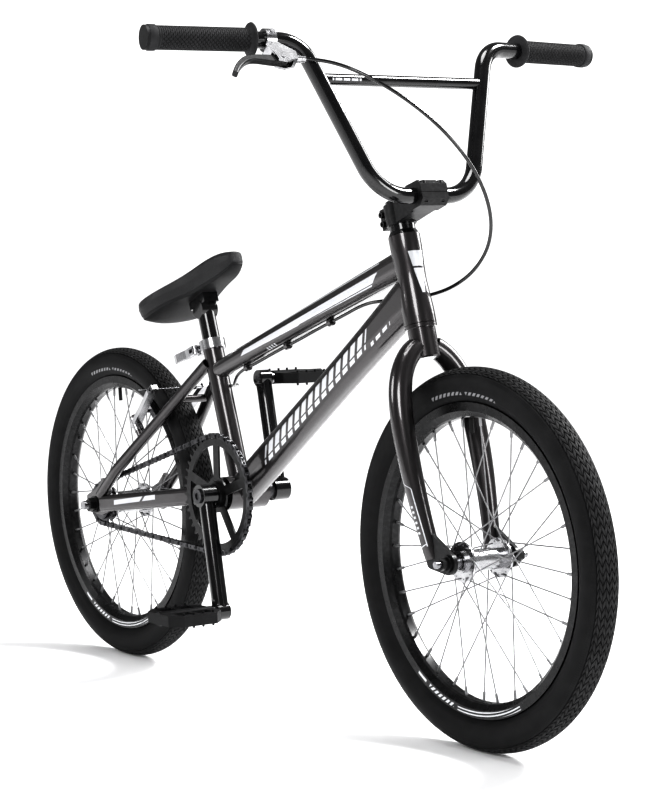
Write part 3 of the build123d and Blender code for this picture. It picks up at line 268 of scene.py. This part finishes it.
def grainedPlastic(name, colour=(0.009, 0.009, 0.0095), rough=0.46):
    finish = Finish(name, Specular_IOR_Level=0.28)
    grain = finish.noise(1300, 3.0)
    finish.set("Base Color", finish.noise(40, 4.0).rise(0.35, 0.4).mix(colour, tuple(c * 1.6 for c in colour)))
    finish.set("Roughness", rough + 0.14 * grain)
    finish.relief(grain, 0.00015, 0.5)
    return finish.material


# Where the printed stripes lie.
downTube = {"start": bracket, "end": Vector((0.3265, 0, 0.5997))}
topTube = {"start": Vector((-0.1735, 0, 0.4768)), "end": Vector((0.3143, 0, 0.643))}
headAxis = {
    "foot": Vector((0.4273, 0, 0.2437)), "up": Vector((-0.2723, 0, 0.9622)), "ahead": Vector((0.9622, 0, 0.2723)),
}


def tubeAxes(tube):
    run = (tube["end"] - tube["start"]).normalized()
    return run, Vector((-run.z, 0, run.x))


# A long row of plain leaning blocks with one thin groove along them, and a few dashes towards the head.
def downTubeDecal(finish):
    run, normal = tubeAxes(downTube)
    length = finish.along(downTube["start"], run)
    height = finish.along(downTube["start"], normal)
    leaning = length - height * 0.9
    bars = (leaning % 0.0212).band(0.003, 0.0178, 0.0012)
    centreLine = abs(height + 0.003)
    tall = (0.0112 - centreLine).rise(0, 0.0008)
    groove = (0.0014 - abs(height + 0.0075)).rise(0, 0.0006)
    row = leaning.band(0.118, 0.432, 0.001) * bars * tall * (1 - groove)
    dashes = leaning.band(0.444, 0.5, 0.002) * (leaning % 0.019).band(0.003, 0.016, 0.001)
    dashes = dashes * abs(height + 0.015).band(-1, 0.0022, 0.0005)
    return (row + dashes).smaller(1.0)


# A thin line over a long wedge that widens towards the head tube.
def topTubeDecal(finish):
    run, normal = tubeAxes(topTube)
    length = finish.along(topTube["start"], run)
    height = finish.along(topTube["start"], normal)
    line = length.band(0.05, 0.47, 0.002) * height.band(0.0118, 0.0152, 0.0006)
    top = 0.0045 - length * 0.004
    low = -0.001 - length * 0.024
    wedge = (top - height).rise(0, 0.0006) * (height - low).rise(0, 0.0006)
    wedge = wedge * (length - height * 1.6).band(0.095, 0.462, 0.001)
    groove = abs(height + 0.0035 + length * 0.012).rise(0.0005, 0.0004)
    wedge = wedge * (1 - (1 - groove) * length.rise(0.25, 0.01))
    tick = (length - height).band(0.168, 0.196, 0.001) * ((length % 0.007).rise(0.0035, 0.0006))
    tick = tick * (height + 0.0125).band(-0.002, 0.002, 0.0005)
    return (line + wedge + tick).smaller(1.0)


# A plain tapered plate with one line across it, on the front of the head tube.
def headBadge(finish):
    up = finish.along(headAxis["foot"], headAxis["up"])
    ahead = finish.along(headAxis["foot"], headAxis["ahead"])
    left = finish.axis("Y")
    width = 0.0125 - (0.425 - up).larger(0.0) * 0.17
    shield = (width - abs(left)).rise(0, 0.0006) * up.band(0.366, 0.425, 0.0008) * ahead.rise(0.004, 0.001)
    stripe = (0.0016 - abs(up - 0.402)).rise(0, 0.0006)
    return shield * (1 - stripe)


# The outline of a long panel on the outside of each leg's lower half.
def forkDecal(finish):
    up = finish.along(headAxis["foot"], headAxis["up"])
    ahead = finish.along(headAxis["foot"], headAxis["ahead"])
    outside = abs(finish.axis("Y")).rise(0.055, 0.001)
    shift = (up - 0.105).rise(0, 0.012) * 0.012
    edge = abs(ahead - 0.0065 + shift).band(-1, 0.0009, 0.0004) * up.band(0.028, 0.15, 0.001)
    foot = abs(up - 0.028 - (ahead + 0.006) * 0.3).band(-1, 0.0009, 0.0004) * ahead.band(-0.006, 0.0072, 0.0005)
    bars = (up % 0.007).rise(0.0036, 0.0006) * ahead.band(-0.003, 0.0022, 0.0005) * up.band(0.045, 0.088, 0.001)
    return ((edge + foot + bars * 0.8).smaller(1.0)) * outside


def chainStayDecal(finish):
    length = finish.axis("X")
    outside = abs(finish.axis("Y")).rise(0.04, 0.001)
    height = finish.along(rearAxle, Vector((-0.1225, 0, 0.9925)))
    panel = length.band(-0.395, -0.285, 0.001) * (height - (length + 0.395) * 0.03).band(-0.0035, 0.0045, 0.0005)
    return panel * outside * (1 - (length - height).band(-0.325, -0.318, 0.0006))


# Short dashes on the right upright.
def barDecal(finish):
    height = finish.axis("Z")
    upright = height.band(0.83, 0.892, 0.001) * (finish.axis("Y") < 0.0)
    dash = (height % 0.0125).rise(0.0015, 0.0006) * abs(finish.axis("Y") + 0.1215 + (height - 0.86) * 0.387).band(
        -1, 0.0016, 0.0005)
    return upright * dash * (finish.along((0.318, 0, 0.85), (1, 0, 0.32)) > 0.0)


def crossbarDecal(finish):
    across = finish.axis("Y")
    front = finish.along((0.3057, 0, 0.884), (1, 0, 0.32)) > 0.0
    return front * ((across % 0.013).rise(0.002, 0.0006)) * across.band(-0.12, -0.072, 0.001) * abs(
        finish.axis("Z") - 0.884).band(-1, 0.0018, 0.0004)


def rimDecal(centre):
    # A broken band of bars and a curve of stripes on each side of the rim, below the axle.
    def decal(finish):
        radius, angle = finish.polar(centre)
        outside = abs(finish.axis("Y")).rise(0.0145, 0.0004)
        turned = (angle + 180) % 360
        bars = turned.band(62, 78, 0.3) * ((angle + radius * 260) % 2.4).rise(0.9, 0.2)
        bars = bars * radius.band(0.1985, 0.2045, 0.0005)
        stripes = turned.band(80, 118, 0.4) * ((radius + turned * 0.00011) % 0.0042).rise(0.0022, 0.0004)
        stripes = stripes * radius.band(0.1972, 0.2052, 0.0005)
        tip = turned.band(54, 60, 0.5) * radius.band(0.199, 0.2035, 0.0008)
        return (bars + stripes + tip).smaller(1.0) * outside
    return decal


framePaint = graphitePaint("graphitePaint")
forkPaint = graphitePaint("forkPaint", forkDecal)
blackGloss = glossBlack("blackGloss")
blackSatin = satinBlack("blackSatin")
stemBlack = satinBlack("stemBlack", 0.42)
spokeSteel = bareMetal("spokeSteel", (0.34, 0.34, 0.345), (0.24, 0.24, 0.245), 0.42)
silver = bareMetal("silverAlloy", (0.56, 0.56, 0.57), (0.4, 0.4, 0.41), 0.2, (1, 6, 1), 220)
steel = bareMetal("brightSteel", (0.4, 0.4, 0.41), (0.26, 0.26, 0.27), 0.2)
darkSteel = bareMetal("darkSteel", (0.13, 0.13, 0.135), (0.06, 0.06, 0.063), 0.32)
blackPlastic = grainedPlastic("blackPlastic")
tubeRubber = rubber("tubeRubber", (0.014, 0.014, 0.014))

looks = {
    "head_tube": graphitePaint("headTubePaint", headBadge),
    "top_tube": graphitePaint("topTubePaint", topTubeDecal),
    "down_tube": graphitePaint("downTubePaint", downTubeDecal),
    "chain_stay_right": graphitePaint("chainStayPaint", chainStayDecal),
    "handlebar": glossBlack("barGloss", barDecal),
    "crossbar": glossBlack("crossbarGloss", crossbarDecal),
    "front_rim": satinBlack("frontRimBlack", 0.22, rimDecal(frontAxle)),
    "rear_rim": satinBlack("rearRimBlack", 0.22, rimDecal(rearAxle)),
}
looks["chain_stay_left"] = looks["chain_stay_right"]
shared = {
    framePaint: ["seat_tube", "bottom_bracket_shell", "seat_stay_right", "seat_stay_left", "rear_dropouts",
                 "stay_bridges", "brake_bosses", "cable_guides"],
    forkPaint: ["fork_steerer", "fork_leg_right", "fork_leg_left"],
    blackGloss: ["seat_post", "crank_arm_right", "crank_arm_left", "headset_spacers"],
    stemBlack: ["stem_body", "stem_cap"],
    spokeSteel: ["front_spokes", "rear_spokes"],
    blackSatin: ["fork_dropouts", "brake_lever", "chainring", "front_axle_nuts", "rear_axle_nuts", "stem_bolts"],
    silver: ["seat_clamp", "qr_lever", "lever_bracket", "front_hub", "rear_hub", "brake_arm_right",
             "brake_arm_left"],
    steel: ["headset_bearings", "bottom_bracket_bearings", "pedal_axles",
            "front_axle", "rear_axle"],
    darkSteel: ["chain", "rear_cog", "crank_spindle"],
    blackPlastic: ["bar_end_plugs", "pedal_right", "pedal_left"],
    tubeRubber: ["front_inner_tube", "rear_inner_tube"],
}
for material, names in shared.items():
    for name in names:
        looks[name] = material
for name, material in looks.items():
    nodes[name].data.materials.clear()
    nodes[name].data.materials.append(material)
print("materials made")


# Building helpers.
# A finished bmesh as an object riding on a body, in place of these nodes.
def newPiece(name, mesh, material, body, replaced=(), smooth=True):
    data = bpy.data.meshes.new(name)
    mesh.to_mesh(data)
    mesh.free()
    data.materials.append(material)
    if smooth:
        data.shade_smooth()
    piece = bpy.data.objects.new(name, data)
    scene.collection.objects.link(piece)
    if body:
        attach(piece, body)
    if replaced:
        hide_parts(*replaced)
    return piece


# Shades smooth with a crease at each edge sharper than this.
def sharpen(piece, angle=35):
    piece.data.set_sharp_from_angle(angle=radians(angle))


# A surface of revolution of these points about an axis.
def spinProfile(points, centre, axis, steps, closed=False):
    mesh = bmesh.new()
    corners = [mesh.verts.new(point) for point in points]
    pairs = list(zip(corners, corners[1:]))
    if closed:
        pairs.append((corners[-1], corners[0]))
    edges = [mesh.edges.new(pair) for pair in pairs]
    bmesh.ops.spin(mesh, geom=corners + edges, cent=centre, axis=axis, angle=2 * pi, steps=steps, use_merge=True)
    bmesh.ops.remove_doubles(mesh, verts=mesh.verts, dist=1e-6)
    bmesh.ops.recalc_face_normals(mesh, faces=mesh.faces)
    return mesh


# Adds a finished part to a larger mesh.
def joinInto(mesh, part):
    data = bpy.data.meshes.new("part")
    part.to_mesh(data)
    part.free()
    mesh.from_mesh(data)
    bpy.data.meshes.remove(data)


# Copies of everything so far, evenly round the wheel's axle.
def repeatAround(mesh, centre, count):
    geometry = mesh.verts[:] + mesh.edges[:] + mesh.faces[:]
    bmesh.ops.spin(mesh, geom=geometry, cent=centre, axis=side, angle=2 * pi * (count - 1) / count, steps=count - 1,
                   use_duplicate=True)


# Tyres.
tyre = {
    "ringRadius": 0.2285, "section": 0.0243, "treadSection": 0.02445, "grooveSection": 0.0229,
    "rows": ((0.085, 0.15, 1), (0.26, 0.15, -1), (0.435, 0.15, 1), (0.61, 0.15, -1), (0.76, 0.10, 1)),
    "pitches": 138, "blockLength": 0.0082, "slant": 0.0085, "blockFoot": 0.0003, "crownRadius": 0.25,
    "shoulder": 0.83, "beadHalf": 0.0112, "beadRadius": 0.2062,
}


# A point on the tyre's section, at the top of the wheel; turn 0 is the crown.
def sectionPoint(centre, turn, section):
    return centre + Vector((0, sin(turn) * section, tyre["ringRadius"] + cos(turn) * section))


# From one bead over the crown to the other: smooth wall, two fine ribs, and the floor of the tread.
def tyreProfile(centre):
    half = [Vector((0, tyre["beadHalf"] - 0.0012, tyre["beadRadius"] - 0.0012)),
            Vector((0, tyre["beadHalf"], tyre["beadRadius"])),
            Vector((0, tyre["beadHalf"] + 0.0022, tyre["beadRadius"] + 0.0018))]
    points = [centre + point for point in half]
    shoulder = tyre["shoulder"]
    for step in range(19):
        turn = 2.36 + (shoulder + 0.03 - 2.36) * step / 18
        ridge = 0.00022 if step in (2, 5, 15) else 0.0
        points.append(sectionPoint(centre, turn, tyre["section"] - 0.0003 + ridge))
    for step in range(7):
        turn = shoulder * (1 - step / 6)
        points.append(sectionPoint(centre, turn, tyre["grooveSection"]))
    mirrored = [Vector((p.x, -p.y, p.z)) for p in reversed(points[:-1])]
    inner = [sectionPoint(centre, -2.3 + 4.6 * step / 12, 0.0212) for step in range(13)]
    return points + mirrored + inner


# One leaning block of tread with softened edges, laid on the carcass.
def treadBlock(mesh, centre, row, hand):
    middle, width, lean = row
    foot = tyre["grooveSection"] - tyre["blockFoot"]
    block = bmesh.new()
    bmesh.ops.create_cube(block, size=1)
    across = [edge for edge in block.edges if abs(edge.verts[0].co.y - edge.verts[1].co.y) > 0.5]
    bmesh.ops.subdivide_edges(block, edges=across, cuts=1)
    rim = [edge for edge in block.edges if edge.verts[0].co.z > 0.4 and edge.verts[1].co.z > 0.4
           and not all(abs(vert.co.y) < 0.1 for vert in edge.verts)]
    bmesh.ops.bevel(block, geom=rim, offset=0.09, segments=1, profile=0.5, affect="EDGES", material=-1)
    for vert in block.verts:
        ahead, over, up = vert.co
        turn = hand * (middle + over * width)
        run = ahead * tyre["blockLength"] + over * lean * tyre["slant"]
        section = foot + (up + 0.5) * (tyre["treadSection"] - foot)
        spot = sectionPoint(Vector((0, 0, 0)), turn, section)
        vert.co = centre + Matrix.Rotation(run / tyre["crownRadius"], 3, side) @ spot
    joinInto(mesh, block)


def makeTyre(name, centre, body, replaced, material, treadMaterial):
    carcass = spinProfile(tyreProfile(centre), centre, side, 168, closed=True)
    newPiece(name, carcass, material, body, [replaced])
    tread = bmesh.new()
    for row in tyre["rows"]:
        for hand in (-1, 1):
            treadBlock(tread, centre, row, hand)
    repeatAround(tread, centre, tyre["pitches"])
    bmesh.ops.recalc_face_normals(tread, faces=tread.faces)
    blocks = newPiece(name + "Tread", tread, treadMaterial, body)
    sharpen(blocks, 40)


# Black rubber with a faint pale row of bars printed on each wall, high on the wheel.
def tyreRubber(name, centre):
    finish = Finish(name, Specular_IOR_Level=0.22)
    radius, angle = finish.polar(centre)
    bloom = finish.noise(38, 6.0)
    colour = bloom.rise(0.3, 0.5).mix((0.0065, 0.0065, 0.007), (0.014, 0.014, 0.0145))
    printed = angle.band(74, 109, 0.3) * (1 - angle.band(90, 92.5, 0.3))
    printed = printed * ((angle + radius * 300) % 2.3).rise(0.8, 0.3) * radius.band(0.2165, 0.2215, 0.0006)
    printed = printed * abs(finish.axis("Y")).rise(0.018, 0.001)
    finish.set("Base Color", (printed * 0.75).mix(colour, (0.34, 0.34, 0.35)))
    finish.set("Roughness", 0.5 + 0.2 * bloom)
    rays = (angle % 0.8).rise(0.45, 0.2) * radius.band(0.2385, 0.2435, 0.0006)
    rays = rays * abs(finish.axis("Y")).rise(0.0165, 0.001)
    finish.relief(finish.noise(1100, 3.0) * 0.3 + rays * 0.7, 0.0003, 0.6)
    return finish.material


# The tread blocks get a lighter rubber than the carcass around and between them: partly dust on the tread, partly
# painted light on the block tops, so the grooves read as painted shade.
dustyLitTreadRubber = rubber("dustyLitTreadRubber", (0.022, 0.022, 0.0225), 0.55)
makeTyre("frontTyre", frontAxle, "front_wheel", "front_tyre", tyreRubber("frontTyreRubber", frontAxle), dustyLitTreadRubber)
makeTyre("rearTyre", rearAxle, "rear_wheel", "rear_tyre", tyreRubber("rearTyreRubber", rearAxle), dustyLitTreadRubber)
print("tyres made")


# Chain.
chain = {"pitch": 0.0127, "ringTeeth": 44, "cogTeeth": 16, "links": 86, "line": -0.045, "plateEnd": 0.0040,
         "plateHalf": 0.0040}
ringRadius = chain["pitch"] / (2 * sin(pi / chain["ringTeeth"]))
cogRadius = chain["pitch"] / (2 * sin(pi / chain["cogTeeth"]))
centreDistance = (bracket - rearAxle).length
chainLean = asin((ringRadius - cogRadius) / centreDistance)
chainSlope = atan2(bracket.z - rearAxle.z, bracket.x - rearAxle.x)
topTurn = pi / 2 + chainSlope + chainLean
lowTurn = topTurn - (pi + 2 * chainLean)
ringLinks = (pi + 2 * chainLean) * chain["ringTeeth"] / (2 * pi)
cogLinks = (pi - 2 * chainLean) * chain["cogTeeth"] / (2 * pi)
runLinks = centreDistance * cos(chainLean) / chain["pitch"]


def around(centre, radius, turn):
    return centre + Vector((radius * cos(turn), chain["line"], radius * sin(turn)))


# The place of a roller, counted in links from the top of the chainring.
def chainSpot(link):
    link = link % chain["links"]
    if link <= ringLinks:
        return around(bracket, ringRadius, topTurn - link * 2 * pi / chain["ringTeeth"])
    if link <= ringLinks + runLinks:
        share = (link - ringLinks) / runLinks
        return around(bracket, ringRadius, lowTurn).lerp(around(rearAxle, cogRadius, lowTurn), share)
    if link <= ringLinks + runLinks + cogLinks:
        return around(rearAxle, cogRadius, lowTurn - (link - ringLinks - runLinks) * 2 * pi / chain["cogTeeth"])
    share = (link - ringLinks - runLinks - cogLinks) / runLinks
    return around(rearAxle, cogRadius, topTurn).lerp(around(bracket, ringRadius, topTurn), share)


# A waisted side plate between two rollers.
def linkPlate(mesh, start, end, offset):
    plate = bmesh.new()
    made = bmesh.ops.create_circle(plate, cap_ends=True, radius=1, segments=20)["verts"]
    run = end - start
    forwards = run.normalized()
    across = forwards.cross(side)
    middle = (start + end) / 2 + side * offset
    for vert in made:
        x, y = vert.co.x, vert.co.y
        reach = (run.length / 2 + chain["plateEnd"]) * (abs(x) ** 0.6) * (1 if x > 0 else -1)
        waist = chain["plateHalf"] * (1.0 if abs(x) > 0.35 else 0.8)
        vert.co = middle + forwards * reach + across * (waist * max(-1, min(1, y * 1.35)))
    moved = bmesh.ops.extrude_face_region(plate, geom=plate.faces[:])["geom"]
    bmesh.ops.translate(plate, verts=[v for v in moved if isinstance(v, bmesh.types.BMVert)], vec=side * 0.001)
    joinInto(mesh, plate)


def makeChain():
    mesh = bmesh.new()
    for link in range(chain["links"]):
        start, end = chainSpot(link), chainSpot(link + 1)
        spread = 0.0029 if link % 2 else 0.0018
        linkPlate(mesh, start, end, spread)
        linkPlate(mesh, start, end, -spread - 0.001)
        turn = Matrix.Translation(start) @ Matrix.Rotation(pi / 2, 4, "X")
        for radius, depth in ((0.0038, 0.0036), (0.0017, 0.0092)):
            bmesh.ops.create_cone(mesh, cap_ends=True, segments=10, radius1=radius, radius2=radius, depth=depth,
                                  matrix=turn)
    bmesh.ops.recalc_face_normals(mesh, faces=mesh.faces)
    piece = newPiece("chainLinks", mesh, darkSteel, "frame", ["chain"])
    sharpen(piece, 40)


makeChain()
print("chain made")


# Saddle.
saddle = {
    "post": bracket + Vector((-0.3239, 0, 0.9461)) * 0.305, "tilt": 20.0,
    "sections": ((-0.125, 0.040, 0.006, 0.036), (-0.095, 0.066, -0.004, 0.039), (-0.05, 0.057, 0.0, 0.041),
                 (0.0, 0.033, 0.006, 0.046), (0.055, 0.022, 0.008, 0.051), (0.1, 0.018, 0.010, 0.047),
                 (0.117, 0.012, 0.018, 0.040)),
    "crown": 0.17, "tuck": 0.1, "split": 0.12,
}
saddleRun = Vector((cos(radians(saddle["tilt"])), 0, sin(radians(saddle["tilt"]))))
saddleUp = Vector((-saddleRun.z, 0, saddleRun.x))


# Half width, underside and top at this distance along the saddle.
def saddleSize(u):
    rows = saddle["sections"]
    for before, after in zip(rows, rows[1:]):
        if u <= after[0]:
            share = max(0.0, (u - before[0]) / (after[0] - before[0]))
            share = share * share * (3 - 2 * share) * 0.5 + share * 0.5
            return [a + (b - a) * share for a, b in zip(before[1:], after[1:])]
    return list(rows[-1][1:])


# Turns the unit cube's grid into the part of the saddle between two heights, each from 0 to 1.
def shapeSaddle(mesh, floor, roof, grow=0.0):
    uvLayer = mesh.loops.layers.uv.new("saddleMap")
    uvs = {vert: (vert.co.x * 0.5 + 0.5, vert.co.y * 0.5 + 0.5) for vert in mesh.verts}
    for face in mesh.faces:
        for loop in face.loops:
            loop[uvLayer].uv = uvs[loop.vert]
    for vert in mesh.verts:
        x, y, z = vert.co
        u = -0.004 + x * 0.1195
        half, low, high = saddleSize(u)
        level = floor + (roof - floor) * (z * 0.5 + 0.5)
        tuck = 1.0 - saddle["tuck"] * (1 - level) ** 2
        crown = 1 - saddle["crown"] * abs(y) ** 3.2 - 0.08 * abs(x) ** 6
        height = low + (high - low) * level * (crown if level > 0.5 else 1 - 0.1 * level * abs(y) ** 3)
        height += 0.006 * abs(y) ** 2 * (1 - level) * (1 if x < 0 else 0.2)
        width = (half + grow) * tuck * y * (1 - 0.10 * max(0.0, level - 0.55) * abs(y) ** 2)
        vert.co = saddle["post"] + saddleRun * (u * (1 - 0.03 * abs(y) ** 2)) + side * width + saddleUp * height


def cubeGrid(cuts):
    mesh = bmesh.new()
    bmesh.ops.create_cube(mesh, size=2)
    bmesh.ops.subdivide_edges(mesh, edges=mesh.edges[:], cuts=cuts, use_grid_fill=True)
    return mesh


# Dull synthetic leather with two stitched seams and a fine grain.
def saddleCover(name):
    finish = Finish(name, Specular_IOR_Level=0.35, Coat_Weight=0.06, Coat_Roughness=0.3)
    mapped = addNode(finish.tree, "ShaderNodeUVMap", {"uv_map": "saddleMap"})
    lengthwise = addNode(finish.tree, "ShaderNodeSeparateXYZ", None, {0: mapped}, 0)
    across = abs(addNode(finish.tree, "ShaderNodeSeparateXYZ", None, {0: mapped}, 1) * 2 - 1)
    seam = abs(across - 0.56).band(-1, 0.035, 0.03)
    stitch = abs(across - 0.46).band(-1, 0.02, 0.01) * ((lengthwise % 0.022).rise(0.008, 0.003))
    grain = finish.cells(900, "DISTANCE_TO_EDGE").rise(0.0, 0.12)
    wear = finish.noise(22, 5.0)
    colour = wear.rise(0.3, 0.5).mix((0.011, 0.011, 0.012), (0.021, 0.021, 0.022))
    finish.set("Base Color", (stitch * 0.5).mix(colour, (0.06, 0.06, 0.062)))
    finish.set("Roughness", 0.36 + 0.16 * wear)
    finish.relief(grain * 0.22 - seam * 1.6 + stitch * 0.5 + finish.noise(90, 3.0) * 0.35, 0.0007, 0.65)
    return finish.material


cover = cubeGrid(9)
shapeSaddle(cover, saddle["split"], 1.0)
bmesh.ops.recalc_face_normals(cover, faces=cover.faces)
cover = newPiece("saddleCover", cover, saddleCover("saddleLeather"), "seat", ["saddle"])
cover.modifiers.new("rounding", "SUBSURF").levels = 2
cover.modifiers["rounding"].render_levels = 2
shell = cubeGrid(9)
shapeSaddle(shell, 0.0, saddle["split"] + 0.04, -0.0012)
bmesh.ops.recalc_face_normals(shell, faces=shell.faces)
shell = newPiece("saddleShell", shell, blackPlastic, "seat")
shell.modifiers.new("rounding", "SUBSURF").levels = 2
shell.modifiers["rounding"].render_levels = 2
print("saddle made")


# Grips.
grip = {"start": 0.222, "end": 0.367, "sweep": tan(radians(9.0)), "barTop": 0.156, "barX": 0.2903, "height": 0.934}


def barPoint(left):
    return Vector((grip["barX"] - (abs(left) - grip["barTop"]) * grip["sweep"], left, grip["height"]))


# Distance along the grip and radius: a domed flange, a ribbed body and a thick end.
def gripProfile(length):
    points = [(0.0, 0.01115), (0.0, 0.0195), (0.0006, 0.0218), (0.002, 0.0229), (0.0034, 0.0224), (0.0044, 0.0202),
              (0.0056, 0.0172), (0.0075, 0.0158)]
    along = 0.0085
    while along < length - 0.0135:
        points += [(along, 0.0149), (along + 0.0005, 0.01555), (along + 0.0019, 0.01555), (along + 0.0024, 0.0149)]
        along += 0.003
    points += [(length - 0.0115, 0.0150), (length - 0.0105, 0.0168), (length - 0.0085, 0.017)]
    points += [(length - 0.0012, 0.017), (length, 0.0160), (length, 0.01115)]
    return points


# Crossing diagonal cuts that turn the ribs into small lozenges; the rubber also colours the cuts darker as painted
# shade.
def gripPattern(finish):
    out = abs(finish.axis("Y"))
    above = finish.along((0, 0, 0.934), (0, 0, 1))
    ahead = finish.along((0.2903, 0, 0), (1, 0, 0)) + (out - 0.156) * grip["sweep"]
    turn = above.math("ARCTAN2", above, ahead) * 0.0155
    first = ((out + turn) % 0.0061).rise(0.0009, 0.0006)
    second = ((out - turn) % 0.0061).rise(0.0009, 0.0006)
    return first.smaller(second).larger(1 - out.band(0.231, 0.354, 0.002))


gripRubber = rubber("gripRubber", (0.024, 0.024, 0.025), 0.6, gripPattern)
for hand, name in ((-1, "grip_right"), (1, "grip_left")):
    start, end = barPoint(hand * grip["start"]), barPoint(hand * grip["end"])
    outward = (end - start).normalized()
    upward = Vector((0, 0, 1))
    profile = [start + outward * along + upward * radius for along, radius in gripProfile((end - start).length)]
    sleeve = spinProfile(profile, start, outward, 56, closed=True)
    piece = newPiece("sleeve_" + name, sleeve, gripRubber, "steering", [name])
    sharpen(piece, 50)
print("grips made")


# Brake cable, from the lever's adjuster down to the frame, along the top tube and round to the brake.
cable = {"radius": 0.0025, "wireRadius": 0.0008}
cablePoints = [
    (0.3122, -0.1621, 0.9086),
    (0.3181, -0.1245, 0.9086),
    (0.364, -0.082, 0.879),
    (0.397, -0.042, 0.843),
    (0.415, -0.002, 0.803),
    (0.418, 0.038, 0.757),
    (0.411, 0.066, 0.707),
    (0.397, 0.075, 0.664),
    (0.370, 0.070, 0.629),
    (0.338, 0.058, 0.607),
    (0.306, 0.044, 0.596),
    (0.276, 0.030, 0.592),
    (0.247, 0.008, 0.589),
    (0.2122, 0, 0.585),
    (0.1573, 0, 0.5663),
    (0.1019, 0, 0.5489),
    (0.0470, 0, 0.5302),
    (-0.0083, 0, 0.5128),
    (-0.0632, 0, 0.4941),
    (-0.1148, 0, 0.478),
    (-0.146, 0.011, 0.458),
    (-0.166, 0.026, 0.452),
    (-0.194, 0.040, 0.452),
    (-0.216, 0.062, 0.452),
    (-0.237, 0.078, 0.4473),
    (-0.261, 0.078, 0.4473),
]


def smoothRun(name, points, radius, resolution=8):
    # A round tube along the smooth line through these control points, as a mesh.
    curve = bpy.data.curves.new(name, "CURVE")
    curve.dimensions = "3D"
    curve.bevel_depth = radius
    curve.bevel_resolution = 3
    curve.use_fill_caps = True
    spline = curve.splines.new("NURBS")
    spline.points.add(len(points) - 1)
    for point, place in zip(spline.points, points):
        point.co = (*place, 1)
    spline.order_u = 3
    spline.use_endpoint_u = True
    spline.resolution_u = resolution
    drawn = bpy.data.objects.new(name + "Line", curve)
    scene.collection.objects.link(drawn)
    bpy.context.view_layer.update()
    data = bpy.data.meshes.new_from_object(drawn.evaluated_get(bpy.context.evaluated_depsgraph_get()))
    bpy.data.objects.remove(drawn)
    mesh = bmesh.new()
    mesh.from_mesh(data)
    bmesh.ops.remove_doubles(mesh, verts=mesh.verts, dist=1e-6)
    bmesh.ops.recalc_face_normals(mesh, faces=mesh.faces)
    return mesh


sheath = glossBlack("cableSheath")
cablePiece = newPiece("brakeCable", smoothRun("brakeCable", cablePoints, cable["radius"]), sheath, None,
                      ["brake_cable"])
sharpen(cablePiece, 60)
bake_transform(cablePiece)
print("cable made")


# The brake's wire and its boot.
brakeCentre = Vector((-0.289, 0, 0.4473))
wire = smoothRun("brakeWire", [brakeCentre + Vector((0, y, 0)) for y in (0.032, 0.0, -0.037, -0.074)],
                 cable["wireRadius"])
newPiece("brakeWire", wire, steel, "right_brake_arm")
bootProfile = [(0.0099, 0.001), (0.0099, 0.0032), (0.0125, 0.0043), (0.0150, 0.0034), (0.0175, 0.0044),
               (0.0200, 0.0034), (0.0225, 0.0044), (0.0250, 0.0034), (0.0275, 0.0044), (0.0305, 0.0040),
               (0.0305, 0.001)]
boot = spinProfile([brakeCentre + Vector((0, along, radius)) for along, radius in bootProfile], brakeCentre, side, 24,
                   closed=True)
newPiece("cableBoot", boot, tubeRubber, "left_brake_arm")
print("small parts made")


# Floor, lights, world and camera.
stage = {"floor": (0.86, 0.86, 0.865), "glow": 0.05, "size": 60.0, "backdrop": 1.0, "ambient": 0.15}
floorFinish = Finish("paleFloor", Roughness=0.7, Emission_Color=(1.0, 1.0, 1.0), Emission_Strength=stage["glow"],
                     Specular_IOR_Level=0.1)
floorFinish.set("Base Color", floorFinish.noise(0.8, 2.0).rise(0.3, 0.4).mix((0.85, 0.85, 0.855), stage["floor"]))
floorMesh = bmesh.new()
bmesh.ops.create_grid(floorMesh, x_segments=2, y_segments=2, size=stage["size"])
floorData = bpy.data.meshes.new("floor")
floorMesh.to_mesh(floorData)
floorMesh.free()
floorData.materials.append(floorFinish.material)
floor = bpy.data.objects.new("floor", floorData)
scene.collection.objects.link(floor)

world = bpy.data.worlds.new("studio")
scene.world = world
world.use_nodes = True
backdrop = addNode(world.node_tree, "ShaderNodeLightPath")
strength = backdrop * (stage["backdrop"] - stage["ambient"]) + stage["ambient"]
background = world.node_tree.nodes["Background"]
background.inputs["Color"].default_value = (1, 1, 1, 1)
world.node_tree.links.new(strength.socket, background.inputs["Strength"])

lights = {
    "skyLight": ("SUN", (0.5, 1.9, 2.6), radians(16), 3.4),
    "keyPanel": ("AREA", (2.2, -2.6, 2.4), 1.4, 42),
    "leftPanel": ("AREA", (-1.6, -2.4, 1.6), 1.2, 22),
    "rimPanel": ("AREA", (0.2, 2.6, 1.8), 1.6, 36),
    "topPanel": ("AREA", (0.3, -0.2, 2.8), 1.2, 26),
    "frontPanel": ("AREA", (3.2, 0.9, 1.1), 0.9, 16),
}
for name, (kind, place, size, power) in lights.items():
    lamp = bpy.data.lights.new(name, kind)
    if kind == "SUN":
        lamp.angle = size
    else:
        lamp.shape = "DISK"
        lamp.size = size
    lamp.energy = power
    lampObject = bpy.data.objects.new(name, lamp)
    lampObject.location = place
    aim = Vector((0, 0, 0.45)) - Vector(place)
    lampObject.rotation_euler = aim.to_track_quat("-Z", "Y").to_euler()
    scene.collection.objects.link(lampObject)

view = {"place": (2.7188, -1.8229, 0.6695), "back": (0.81642, -0.57319, 0.07005), "roll": -1.112, "lens": 100.46}
cameraData = bpy.data.cameras.new("studioCamera")
cameraData.lens = view["lens"]
cameraData.sensor_width = 36
cameraData.clip_end = 60
camera = bpy.data.objects.new("studioCamera", cameraData)
facing = Vector(view["back"]).to_track_quat("Z", "Y").to_matrix().to_4x4()
camera.matrix_world = Matrix.Translation(view["place"]) @ facing @ Matrix.Rotation(radians(view["roll"]), 4, "Z")
scene.collection.objects.link(camera)
scene.camera = camera
scene.view_settings.view_transform = "Standard"
scene.view_settings.look = "High Contrast"
print("stage made")
